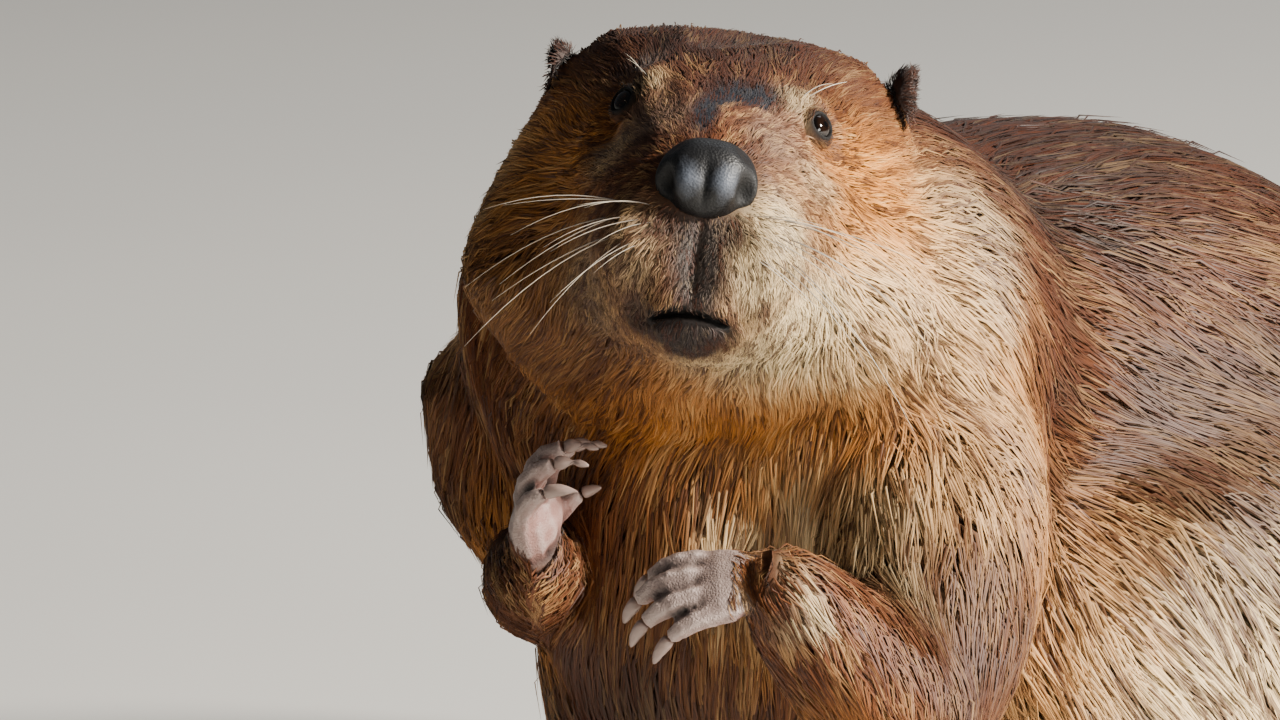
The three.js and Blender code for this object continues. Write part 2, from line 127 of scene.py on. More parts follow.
def bell(points: Array, centre: Sequence[float], reach: Sequence[float]) -> Array:
    """A soft ellipsoid of influence: 1 in its centre, near 0 past its reach along x, y and z."""
    away = (points - np.asarray(centre, float)) / np.asarray(reach, float)
    return np.exp(-1.6 * np.sum(away * away, axis=1))


def ripple(points: Array, size: float, seed: int) -> Array:
    """Smooth noise that needs no table: a few crossed waves.

    Args:
        points: Rows of x, y, z.
        size: The rough length of one wave, in the unit of the points.
        seed: Picks the directions and phases.

    Returns:
        One number from about -1 to 1 for each point.
    """
    rng = np.random.default_rng(seed)
    total = np.zeros(len(points))
    for _ in range(6):
        wave = unit(rng.normal(size=3)) * rng.uniform(0.7, 1.5) * 2.0 * math.pi / size
        total += np.sin(points @ wave + rng.uniform(0.0, 2.0 * math.pi))
    return total / 3.2


def across_plane(vectors: Array, normals: Array) -> Array:
    """Lays each vector down on the plane of its unit normal, at length one."""
    return unit(vectors - np.sum(vectors * normals, axis=1, keepdims=True) * normals)


def cell_keys(cells: Array) -> Array:
    """One number for each row of whole numbers, the same for the same row."""
    return (cells[:, 0] * 73856093) ^ (cells[:, 1] * 19349663) ^ (cells[:, 2] * 83492791)


def middle_of(node: str) -> Array:
    """The middle of a solid's box, in metres."""
    return np.mean(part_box(node), axis=0)


def linear(code: str) -> Colour:
    """Turns a screen colour such as c8965a into scene values."""
    parts = [int(code[i : i + 2], 16) / 255.0 for i in (0, 2, 4)]
    return tuple(c / 12.92 if c <= 0.04045 else ((c + 0.055) / 1.055) ** 2.4 for c in parts)


# ---- shaders


class Value:
    """A number that changes over a surface, held as the socket that gives it."""

    def __init__(self, shader: Shader, socket: NodeSocket) -> None:
        """Wraps an output socket that gives one number."""
        self.shader = shader
        self.socket = socket

    def _math(self, operation: str, first: Any, second: Any) -> Value:
        """Adds one Math node for two values or numbers and gives its result."""
        node = self.shader.node("ShaderNodeMath", {"operation": operation}, {0: first, 1: second})
        return Value(self.shader, node.outputs[0])

    def __add__(self, other: Any) -> Value:
        """Adds a value or number."""
        return self._math("ADD", self, other)

    def __radd__(self, other: Any) -> Value:
        """Adds this value to a number."""
        return self._math("ADD", other, self)

    def __sub__(self, other: Any) -> Value:
        """Takes a value or number away."""
        return self._math("SUBTRACT", self, other)

    def __rsub__(self, other: Any) -> Value:
        """Takes this value away from a number."""
        return self._math("SUBTRACT", other, self)

    def __mul__(self, other: Any) -> Value:
        """Multiplies by a value or number."""
        return self._math("MULTIPLY", self, other)

    def __rmul__(self, other: Any) -> Value:
        """Multiplies a number by this value."""
        return self._math("MULTIPLY", other, self)

    def waved(self) -> Value:
        """The sine of the value."""
        return self._math("SINE", self, 0.0)

    def clamped(self) -> Value:
        """Keeps the value between 0 and 1."""
        return self._math("MINIMUM", self._math("MAXIMUM", self, 0.0), 1.0)

    def between(self, low: float, high: float) -> Value:
        """Stretches the part of the value from low to high over 0 to 1."""
        return ((self - low) * (1.0 / (high - low))).clamped()


class Shader:
    """One material and the nodes that drive its Principled shader."""

    def __init__(self, name: str) -> None:
        """Starts a material with only an output and a Principled shader.

        Args:
            name: The material's name.
        """
        self.material = bpy.data.materials.new(name)
        self.material.use_nodes = True
        self.tree = self.material.node_tree
        self.tree.nodes.clear()
        self.surface = self.node("ShaderNodeBsdfPrincipled")
        output = self.node("ShaderNodeOutputMaterial")
        self.tree.links.new(self.surface.outputs[0], output.inputs["Surface"])

    def node(
        self, kind: str, settings: dict[str, Any] | None = None, inputs: dict[Any, Any] | None = None
    ) -> Node:
        """Adds any node.

        Args:
            kind: The node's type.
            settings: Its properties, set before its sockets.
            inputs: Values or links for its sockets, by name or number.

        Returns:
            The node.
        """
        node = self.tree.nodes.new(kind)
        for key, setting in (settings or {}).items():
            setattr(node, key, setting)
        for key, given in (inputs or {}).items():
            self.feed(node.inputs[key], given)
        return node

    def feed(self, socket: NodeSocket, given: Any) -> None:
        """Links or sets an input.

        Args:
            socket: The input.
            given: A Value, an output socket, a number or a colour's code.
        """
        if isinstance(given, Value):
            self.tree.links.new(given.socket, socket)
        elif isinstance(given, NodeSocket):
            self.tree.links.new(given, socket)
        elif isinstance(given, str):
            socket.default_value = (*linear(given), 1.0)
        else:
            socket.default_value = given

    def parts(self, attribute: str) -> tuple[Value, Value, Value]:
        """Reads what a mesh carries.

        Args:
            attribute: The name it is stored under.

        Returns:
            Its three numbers.
        """
        read = self.node("ShaderNodeAttribute", {"attribute_name": attribute})
        split = self.node("ShaderNodeSeparateXYZ", None, {0: read.outputs["Vector"]})
        return tuple(Value(self, s) for s in split.outputs)

    def place(self) -> NodeSocket:
        """The point on the surface, in metres in the frame of the solids."""
        return self.node("ShaderNodeTexCoord").outputs["Object"]

    def noise(self, scale: float, detail: float, rough: float = 0.5) -> Value:
        """Noise from 0 to 1: its blobs in a metre, its finer layers and how strong they are."""
        inputs = {"Vector": self.place(), "Scale": scale, "Detail": detail, "Roughness": rough}
        return Value(self, self.node("ShaderNodeTexNoise", None, inputs).outputs[0])

    def cells(self, scale: float, feature: str = "F1") -> Value:
        """Measures the distance to the nearest of scattered points.

        Args:
            scale: Points in a metre.
            feature: The Voronoi node's feature.

        Returns:
            The distance, from 0 upwards.
        """
        inputs = {"Vector": self.place(), "Scale": scale}
        node = self.node("ShaderNodeTexVoronoi", {"feature": feature}, inputs)
        return Value(self, node.outputs["Distance"])

    def mixed(self, first: Any, second: Any, share: Any) -> NodeSocket:
        """Mixes two colours, with this share of the second."""
        settings = {"data_type": "RGBA", "blend_type": "MIX", "clamp_factor": True}
        return self.node("ShaderNodeMix", settings, {0: share, 6: first, 7: second}).outputs[2]

    def dimmed(self, colour: Any, factor: Any) -> NodeSocket:
        """Multiplies a colour by a value.

        Args:
            colour: A colour socket.
            factor: A value or number.

        Returns:
            The colour's socket.
        """
        grey = self.node("ShaderNodeCombineXYZ", None, {0: factor, 1: factor, 2: factor})
        settings = {"operation": "MULTIPLY"}
        return self.node("ShaderNodeVectorMath", settings, {0: colour, 1: grey.outputs[0]}).outputs[0]

    def bumped(self, height: Value, depth_mm: float, strength: float = 1.0) -> None:
        """Gives the surface relief.

        Args:
            height: The relief, from 0 to 1.
            depth_mm: How far 1 stands above 0, in millimetres.
            strength: The Bump node's strength.
        """
        inputs = {"Height": height, "Distance": depth_mm * MM, "Strength": strength}
        bump = self.node("ShaderNodeBump", None, inputs)
        self.tree.links.new(bump.outputs[0], self.surface.inputs["Normal"])

    def dress(self, **sockets: Any) -> Material:
        """Sets or links the Principled shader's sockets.

        Args:
            sockets: Socket names with _ for spaces, and their values.

        Returns:
            The finished material.
        """
        for key, given in sockets.items():
            self.feed(self.surface.inputs[key.replace("_", " ")], given)
        return self.material


# ---- meshes


def new_object(name: str, data: ID) -> Object:
    """Puts an object in the scene.

    Args:
        name: Its name.
        data: Its mesh, camera or lamp.

    Returns:
        The object.
    """
    made = bpy.data.objects.new(name, data)
    bpy.context.scene.collection.objects.link(made)
    return made


def placed(name: str, mesh: Mesh, finish: Finish) -> Object:
    """Makes a piece that rides on the body.

    Args:
        name: The piece's name.
        mesh: Its mesh.
        finish: Its finish.

    Returns:
        The piece.
    """
    mesh.materials.append(bpy.data.materials.get(finish.name) or finish.material())
    piece = new_object(name, mesh)
    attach(piece, BODY)
    return piece


def mesh_of(name: str, points: Array, *groups: Array) -> Mesh:
    """Builds a smooth-shaded mesh from arrays.

    Args:
        name: The mesh's name.
        points: Rows of x, y, z in metres.
        groups: Arrays of faces, one array for each count of corners.

    Returns:
        The mesh.
    """
    mesh = bpy.data.meshes.new(name)
    corners = np.concatenate([g.ravel() for g in groups]).astype(np.int32)
    sizes = np.concatenate([np.full(len(g), g.shape[1]) for g in groups])
    starts = np.concatenate([[0], np.cumsum(sizes)[:-1]]).astype(np.int32)
    mesh.vertices.add(len(points))
    mesh.vertices.foreach_set("co", np.asarray(points, np.float32).ravel())
    mesh.loops.add(len(corners))
    mesh.loops.foreach_set("vertex_index", corners)
    mesh.polygons.add(len(sizes))
    mesh.polygons.foreach_set("loop_start", starts)
    mesh.update(calc_edges=True)
    mesh.polygons.foreach_set("use_smooth", np.ones(len(sizes), bool))
    return mesh


def carry(mesh: Mesh, name: str, rows: Array) -> None:
    """Stores three numbers for each vertex under a name that a shader can read."""
    made = mesh.attributes.new(name, "FLOAT_VECTOR", "POINT")
    made.data.foreach_set("vector", np.asarray(rows, np.float32).ravel())


def points_of(mesh: Mesh) -> Array:
    """Reads the vertices of a mesh.

    Args:
        mesh: The mesh.

    Returns:
        One row of x, y, z for each.
    """
    flat = np.empty(len(mesh.vertices) * 3, np.float32)
    mesh.vertices.foreach_get("co", flat)
    return flat.reshape(-1, 3).astype(float)


def triangles_of(mesh: Mesh) -> Array:
    """Reads the triangles of a mesh.

    Args:
        mesh: The mesh.

    Returns:
        One row of three vertex numbers for each.
    """
    mesh.calc_loop_triangles()
    flat = np.empty(len(mesh.loop_triangles) * 3, np.int32)
    mesh.loop_triangles.foreach_get("vertices", flat)
    return flat.reshape(-1, 3)


def welded(mesh: Mesh) -> tuple[Array, Array]:
    """Reads a mesh with the vertices at one place made one.

    Args:
        mesh: The mesh.

    Returns:
        Points and triangles.
    """
    points, faces = points_of(mesh), triangles_of(mesh)
    _, first, same = np.unique(np.round(points / (0.01 * MM)), axis=0, return_index=True, return_inverse=True)
    return points[first], same.ravel()[faces]


def stacked(shapes: Iterable[tuple[Array, Array, Array]]) -> tuple[Array, Array, Array]:
    """Puts shapes together as one.

    Args:
        shapes: For each its points, its triangles and rows of what it carries.

    Returns:
        All points, all triangles and all rows.
    """
    points, faces, rows = zip(*shapes)
    starts = np.cumsum([0, *(len(own) for own in points[:-1])])
    moved = [own + start for own, start in zip(faces, starts)]
    return np.vstack(points), np.vstack(moved), np.concatenate(rows)


def solids(names: Sequence[str]) -> tuple[Array, Array, Array]:
    """Reads solids as one.

    Args:
        names: The solids' names.

    Returns:
        Points, triangles, and for each triangle the number of its solid.
    """
    shapes = []
    for index, name in enumerate(names):
        mesh = bpy.data.objects[name].data
        faces = triangles_of(mesh)
        shapes.append((points_of(mesh), faces, np.full(len(faces), index)))
    return stacked(shapes)


def modified(
    mesh: Mesh, kind: str, settings: dict[str, Any], weights: Array | None = None
) -> Mesh:
    """Runs one modifier on a mesh and gives the result as a new mesh.

    Args:
        mesh: The mesh, which is used up.
        kind: The modifier's type.
        settings: Its properties.
        weights: For each vertex, its weight in the group "held", or None.

    Returns:
        The new mesh.
    """
    carrier = new_object("carrier", mesh)
    if weights is not None:
        group = carrier.vertex_groups.new(name="held")
        group.add(np.nonzero(weights)[0].tolist(), 1.0, "REPLACE")
    modifier = carrier.modifiers.new("work", kind)
    for key, setting in settings.items():
        setattr(modifier, key, setting)
    graph = bpy.context.evaluated_depsgraph_get()
    made = bpy.data.meshes.new_from_object(carrier.evaluated_get(graph))
    bpy.data.objects.remove(carrier)
    bpy.data.meshes.remove(mesh)
    return made


class Surface:
    """A closed skin held as arrays, which can be relaxed and pushed about."""

    def __init__(self, points: Array, faces: Array) -> None:
        """Holds triangles.

        Args:
            points: Rows of x, y, z in metres.
            faces: Rows of three vertex numbers.
        """
        self.points = points
        self.faces = faces = faces.astype(np.int64)
        pairs = np.vstack([faces[:, [0, 1]], faces[:, [1, 2]], faces[:, [2, 0]]])
        pairs.sort(axis=1)
        self.edges = np.unique(pairs, axis=0)
        self.degree = np.bincount(self.edges.ravel(), minlength=len(points)).astype(float)

    def spread(self, rows: Array, rounds: int, share: float = 0.5) -> Array:
        """Evens out numbers along the surface.

        Args:
            rows: One row of numbers for each vertex.
            rounds: How many times each vertex takes after its neighbours.
            share: How far it does so each time.

        Returns:
            The evened rows.
        """
        start, end = self.edges.T
        rows = np.array(rows, float).reshape(len(self.points), -1)
        count = np.maximum(self.degree, 1.0)
        for _ in range(rounds):
            for column in range(rows.shape[1]):
                old = rows[:, column]
                near = np.bincount(start, old[end], len(old)) + np.bincount(end, old[start], len(old))
                rows[:, column] = old + share * (near / count - old)
        return rows

    def relax(self, rounds: int, where: Array | None = None, swell: float = 0.0) -> None:
        """Smooths the shape.

        Args:
            rounds: How many times.
            where: For each vertex, how much of the smoothing it takes.
            swell: How much of each step is given back, against shrinking.
        """
        keep = 1.0 if where is None else where[:, None]
        for _ in range(rounds):
            moved = self.spread(self.points, 1)
            self.points = self.points + keep * (moved - self.points)
            if swell:
                moved = self.spread(self.points, 1, -0.5 * swell)
                self.points = self.points + keep * (moved - self.points)

    def normals(self) -> Array:
        """Finds the normals, weighted by the area of the faces around each vertex.

        Returns:
            One unit normal for each vertex.
        """
        corner = self.points[self.faces]
        flat = np.cross(corner[:, 1] - corner[:, 0], corner[:, 2] - corner[:, 0])
        total = np.zeros_like(self.points)
        for column in range(3):
            for place in range(3):
                total[:, column] += np.bincount(self.faces[:, place], flat[:, column], len(self.points))
        return unit(total)

    def refine(self, chosen: Array) -> None:
        """Splits every edge between two chosen vertices, and the faces beside it.

        Args:
            chosen: True for each vertex that is chosen.
        """
        split = chosen[self.edges].all(axis=1)
        number = np.full(len(self.edges), -1)
        number[split] = len(self.points) + np.arange(split.sum())
        keys = self.edges[:, 0] * len(self.points) + self.edges[:, 1]
        middles = []
        for place in range(3):
            ends = np.sort(self.faces[:, [place, (place + 1) % 3]], axis=1)
            middles.append(number[np.searchsorted(keys, ends[:, 0] * len(self.points) + ends[:, 1])])
        middle = np.stack(middles, axis=1)
        count = (middle >= 0).sum(axis=1)
        faces = [self.faces[count == 0]]
        for turn in range(3):
            p, q, s = np.roll(self.faces, -turn, axis=1).T
            pq, qs, sp = np.roll(middle, -turn, axis=1).T
            one = (count == 1) & (pq >= 0)
            two = (count == 2) & (sp < 0)
            faces += [np.stack(f, axis=1)[one] for f in ((p, pq, s), (pq, q, s))]
            faces += [np.stack(f, axis=1)[two] for f in ((pq, q, qs), (p, pq, qs), (p, qs, s))]
            faces.append(np.stack((p, pq, sp), axis=1)[count == 3])
        faces.append(middle[count == 3])
        added = self.points[self.edges[split]].mean(axis=1)
        self.__init__(np.vstack([self.points, added]), np.vstack(faces))

    def tree(self) -> BVHTree:
        """A search tree of the triangles."""
        return BVHTree.FromPolygons(self.points.tolist(), self.faces.tolist())

    def mesh(self, name: str) -> Mesh:
        """The surface as a mesh."""
        return mesh_of(name, self.points, self.faces)


def remeshed(points: Array, faces: Array, voxel_mm: float) -> Mesh:
    """Melts closed solids that touch or overlap into one skin with faces of this size."""
    settings = {"mode": "VOXEL", "voxel_size": voxel_mm * MM}
    return modified(mesh_of("raw", points, faces), "REMESH", settings)


def taken(mesh: Mesh) -> Surface:
    """Turns a mesh into a surface.

    Args:
        mesh: The mesh, which is used up.

    Returns:
        The surface.
    """
    surface = Surface(points_of(mesh), triangles_of(mesh))
    bpy.data.meshes.remove(mesh)
    return surface


def wall(rings: int, around: int) -> Array:
    """Closes the side of a tube.

    Args:
        rings: How many rings of points follow one another.
        around: The points in each ring.

    Returns:
        The triangles between the rings.
    """
    a = np.arange((rings - 1) * around)
    b = a - a % around + (a + 1) % around
    pairs = [(a, b, a + around), (b, b + around, a + around)]
    return np.stack([np.stack(pair, axis=1) for pair in pairs], axis=1).reshape(-1, 3)


def ball(centre: Sequence[float], radii: Sequence[float], turns: int = 24) -> tuple[Array, Array]:
    """A closed ellipsoid of latitude rings.

    Args:
        centre: Its middle.
        radii: Its half sizes along x, y and z.
        turns: Faces around it; half as many from pole to pole.

    Returns:
        Points and triangles.
    """
    rings = turns // 2
    polar = np.linspace(0.0, math.pi, rings + 1)[1:-1, None]
    turn = np.linspace(0.0, 2.0 * math.pi, turns, endpoint=False)[None, :]
    wide, high = np.sin(polar), np.cos(polar) + 0.0 * turn
    ring = np.stack([wide * np.cos(turn), wide * np.sin(turn), high], axis=-1)
    points = np.vstack([ring.reshape(-1, 3), [[0.0, 0.0, 1.0], [0.0, 0.0, -1.0]]])
    top, bottom, last = len(points) - 2, len(points) - 1, (rings - 2) * turns
    caps = []
    for k in range(turns):
        caps += [(top, k, (k + 1) % turns), (last + (k + 1) % turns, last + k, bottom)]
    faces = np.vstack([wall(rings - 1, turns)[:, ::-1], caps])
    return points * np.asarray(radii, float) + np.asarray(centre, float), faces


# ---- places and axes


@dataclass(frozen=True)
class HeadFrame:
    """The head's own axes: nose towards -Y, its left towards +X, crown towards +Z.

    Numbers given to it are millimetres. The same angles set the head of the
    solids, and the eyes, which are balls, say where it is.
    """

    turn: float = 40.0
    lift: float = 17.0
    tilt: float = 7.0
    eyes_forward: float = -90.0
    eyes_level: float = 26.5
    base: Place = (0.0, -85.0, 326.0)

    @property
    def axes(self) -> Array:
        """The head's axes in the frame of the solids.

        Returns:
            The axes as columns.
        """
        spin = Matrix.Rotation(math.radians(self.turn), 3, "Z")
        nod = Matrix.Rotation(math.radians(-self.lift), 3, "X")
        lean = Matrix.Rotation(math.radians(self.tilt), 3, "Y")
        return np.array(spin @ nod @ lean)

    @property
    def origin(self) -> Array:
        """Finds the head's origin from the eyes.

        Returns:
            Its place in the frame of the solids, in millimetres.
        """
        centres = [middle_of(f"eye_{side.label}") for side in Side]
        between = np.array([0.0, self.eyes_forward, self.eyes_level])
        return np.mean(centres, axis=0) / MM - self.axes @ between

    @property
    def shift(self) -> Array:
        """How far the solids lie from the places that the body's tables give."""
        return self.origin - np.array(self.base)

    def inside(self, points: Array) -> Array:
        """Turns metres in the frame of the solids into millimetres in the head."""
        return (points / MM - self.origin) @ self.axes

    def outside(self, points: Array) -> Array:
        """Turns millimetres in the head into metres in the frame of the solids."""
        return (points @ self.axes.T + self.origin) * MM

    def body(self, points: Array) -> Array:
        """Turns metres in the frame of the solids into the millimetres of the body's tables."""
        return points / MM - self.shift


@dataclass(frozen=True)
class Growth:
    """How the hair grows on one part of the body, in millimetres."""

    depth: float
    length: float
    width: float
    spacing: float

    def row(self) -> list[float]:
        """The four numbers as a row."""
        return [self.depth, self.length, self.width, self.spacing]


GROWTH: dict[str, Growth] = {
    "head": Growth(3.2, 12.5, 0.58, 1.04),
    "lower_jaw": Growth(2.6, 9.0, 0.62, 1.05),
    "nose": Growth(1.2, 3.0, 0.42, 0.95),
    "neck": Growth(8.5, 27.0, 1.05, 1.65),
    "trunk": Growth(9.5, 33.0, 1.25, 1.98),
    "tail_base": Growth(6.5, 23.0, 1.2, 2.0),
    "upper_arm": Growth(8.0, 26.0, 1.05, 1.65),
    "forearm": Growth(4.5, 17.0, 0.88, 1.42),
    "thigh": Growth(9.5, 31.0, 1.25, 1.95),
    "shank": Growth(6.5, 23.0, 1.2, 1.9),
    "forepaw": Growth(0.4, 6.0, 0.45, 1.2),
    "hind_foot": Growth(0.4, 7.0, 0.7, 1.8),
}
CHEEK = Growth(7.0, 24.0, 0.84, 1.34)
MUZZLE = Growth(1.6, 4.8, 0.42, 0.82)
BROW = Growth(1.5, 4.6, 0.42, 0.84)
PAIRED = ("upper_arm", "forearm", "thigh", "shank", "forepaw", "hind_foot")
MIDDLE = ("head", "lower_jaw", "neck", "trunk", "tail_base")
BACK_OF_HAND = {Side.LEFT: (0.375, -0.42, 0.825), Side.RIGHT: (-0.85, -0.35, 0.1)}


@dataclass(frozen=True)
class Dab:
    """One touch of modelling, in the head's millimetres.

    A mirrored dab is made on both sides of the head.
    """

    at: Place
    reach: Place
    push: Place
    mirrored: bool = True

    def apply(self, points: Array) -> Array:
        """How far this dab moves each point.

        Args:
            points: Points in the head's millimetres.

        Returns:
            The moves, in the head's millimetres.
        """
        moves = bell(points, self.at, self.reach)[:, None] * np.array(self.push)
        if self.mirrored:
            moves += bell(points * MIRROR, self.at, self.reach)[:, None] * np.array(self.push) * MIRROR
        return moves


@dataclass(frozen=True)
class Pad:
    """The rounded block that the nose is cut from, in the head's millimetres."""

    middle: Place = (0.0, -145.0, -1.0)
    half: Place = (17.4, 14.0, 14.0)
    power: float = 2.5

    def reach(self, points: Array) -> Array:
        """How far out points are: 1 on the block's surface."""
        scaled = np.abs((points - np.array(self.middle)) / np.array(self.half))
        return np.sum(scaled**self.power, axis=1) ** (1.0 / self.power)


# ---- finishes


class Pigment(Enum):
    """The colours that lie over the plain brown of the coat, in the order they are laid."""

    RUST = "8c4a18"
    GOLD = "de8c2e"
    CREAM = "f8dba8"
    UMBER = "2b1a14"
    GREY = "958270"
    SLATE = "24262e"


@dataclass(frozen=True)
class Mark:
    """One soft patch of a pigment, in the head's or the body's millimetres."""

    at: Place
    reach: Place
    strength: float
    mirrored: bool = True
    fullness: ClassVar[float] = 2.0

    def weigh(self, points: Array) -> Array:
        """How strong the patch is at each point.

        Args:
            points: Points in the head's or the body's millimetres.

        Returns:
            Weights from 0 to the strength.
        """
        weight = bell(points, self.at, self.reach)
        if self.mirrored:
            weight = np.maximum(weight, bell(points * MIRROR, self.at, self.reach))
        return self.strength * np.minimum(weight * self.fullness, 1.0)


HEAD_MARKS: dict[Pigment, tuple[Mark, ...]] = {
    Pigment.RUST: (
        Mark((0, -40, 60), (64, 50, 40), 0.6, ALONE),
        Mark((62, -60, 30), (26, 34, 24), 0.7),
    ),
    Pigment.GOLD: (
        Mark((66, -74, -8), (48, 44, 50), 0.95),
        Mark((30, -60, -66), (60, 60, 34), 0.6),
    ),
    Pigment.CREAM: (
        # One-sided cream on the animal's left cheek, lower jaw and chin: partly its pale hair, partly painted
        # sunlight; the right side has a weaker copy.
        Mark((56, -80, -34), (34, 32, 26), 0.6, ALONE),
        Mark((36, -108, -48), (28, 30, 28), 1.0, ALONE),
        Mark((-34, -112, -40), (20, 24, 20), 0.3, ALONE),
        Mark((18, -112, -76), (34, 28, 20), 1.0, ALONE),
        Mark((82, -46, 0), (20, 34, 40), 0.5),
        Mark((28, -99, 34), (9, 9, 9), 0.7),
        Mark((34, -112, 6), (12, 14, 9), 0.4),
        # Pale whisker pads: real pale hair, painted stronger on the animal's left as painted sunlight.
        Mark((24, -146, -24), (15, 24, 22), 0.9, ALONE),
        Mark((-20, -148, -26), (11, 20, 15), 0.4, ALONE),
    ),
    Pigment.UMBER: (
        Mark((0, -74, 60), (44, 46, 26), 0.9, ALONE),
        Mark((44, -66, 46), (30, 34, 20), 0.55),
        Mark((0, -30, 70), (56, 30, 20), 0.4, ALONE),
        # Painted shade on the animal's right cheek and jaw.
        Mark((-54, -84, -54), (44, 54, 46), 0.72, ALONE),
        Mark((16, -124, 12), (9, 18, 12), 0.3),
        Mark((10, -150, -17), (10, 10, 5), 0.8),
        Mark((-17, -138, -48), (8, 14, 10), 0.85, ALONE),
        Mark((0, -140, -53), (19, 15, 6), 1.0, ALONE),
        Mark((0, -132, -58), (12, 15, 8), 1.0, ALONE),
    ),
    Pigment.GREY: (
        Mark((19, -116, 18), (15, 22, 14), 0.4),
        Mark((22, -146, -24), (14, 24, 20), 0.15),
        Mark((1.5, -152, -32), (9, 16, 18), 1.0, ALONE),
    ),
    Pigment.SLATE: (
        Mark((-5, -122, 25), (6, 18, 17), 1.0, ALONE),
        Mark((0, -112, 34), (7, 9, 7), 1.0, ALONE),
        Mark((10, -105, 36), (17, 10, 8), 1.0, ALONE),
        Mark((1, -152, -32), (9.5, 16, 24), 0.74, ALONE),
        Mark((0, -136, -56), (13, 15, 7), 0.3, ALONE),
    ),
}
BODY_MARKS: dict[Pigment, tuple[Mark, ...]] = {
    Pigment.RUST: (
        Mark((110, 50, 270), (50, 80, 60), 0.5),
        Mark((122, -124, 160), (60, 60, 60), 0.9),
        Mark((60, -130, 60), (60, 50, 60), 0.6),
    ),
    Pigment.GOLD: (
        Mark((108, -70, 284), (24, 36, 60), 0.7),
        Mark((60, -128, 214), (44, 24, 26), 0.6),
        Mark((124, -60, 150), (30, 30, 70), 0.6),
        Mark((128, 40, 150), (70, 120, 110), 0.8),
        Mark((-46, -122, 182), (36, 36, 34), 0.7, ALONE),
        Mark((120, 10, 60), (60, 100, 60), 0.7),
        Mark((116, -150, 172), (30, 34, 16), 0.75, ALONE),
    ),
    Pigment.CREAM: (
        # Pale cream on the animal's left chest beside the arm: partly pale ruff hair, partly painted sunlight
        # over the shade of the arm.
        Mark((88, -112, 230), (32, 36, 26), 0.85, ALONE),
        Mark((60, -130, 226), (30, 24, 22), 0.7, ALONE),
        Mark((112, -76, 280), (24, 30, 50), 0.4),
        # A painted pool of sunlight on the animal's left thigh, with a weaker copy on the right.
        Mark((146, 36, 150), (66, 90, 84), 0.9, ALONE),
        Mark((-146, 60, 140), (56, 76, 66), 0.4, ALONE),
        Mark((114, -184, 219), (9, 8, 10), 0.8, ALONE),
    ),
    Pigment.UMBER: (
        Mark((0, 40, 350), (116, 130, 84), 1.0, ALONE),
        Mark((0, 170, 270), (120, 90, 84), 0.92, ALONE),
        Mark((0, 245, 130), (90, 60, 90), 0.8, ALONE),
        # Painted shade on the belly between the arms.
        Mark((0, -130, 120), (66, 60, 100), 0.85, ALONE),
        Mark((112, -4, 300), (34, 36, 60), 0.6),
        Mark((124, 60, 252), (64, 110, 56), 0.85),
        Mark((104, 140, 205), (64, 70, 60), 0.85),
        Mark((140, -104, 172), (50, 50, 46), 0.66),
        Mark((126, -104, 212), (40, 40, 34), 0.5),
        Mark((112, -146, 186), (28, 28, 26), 0.4, ALONE),
        # Painted shade on the animal's right flank and arm.
        Mark((-140, 0, 190), (60, 70, 80), 0.5, ALONE),
        Mark((-120, -50, 200), (50, 80, 90), 0.6, ALONE),
    ),
    Pigment.SLATE: (
        Mark((118, -110, 0), (60, 120, 24), 0.85),
    ),
}


@dataclass(frozen=True)
class Finish:
    """What every finish has: a name for its material, and the making of it."""

    name: str

    def material(self) -> Material:
        """Makes the material."""
        raise NotImplementedError


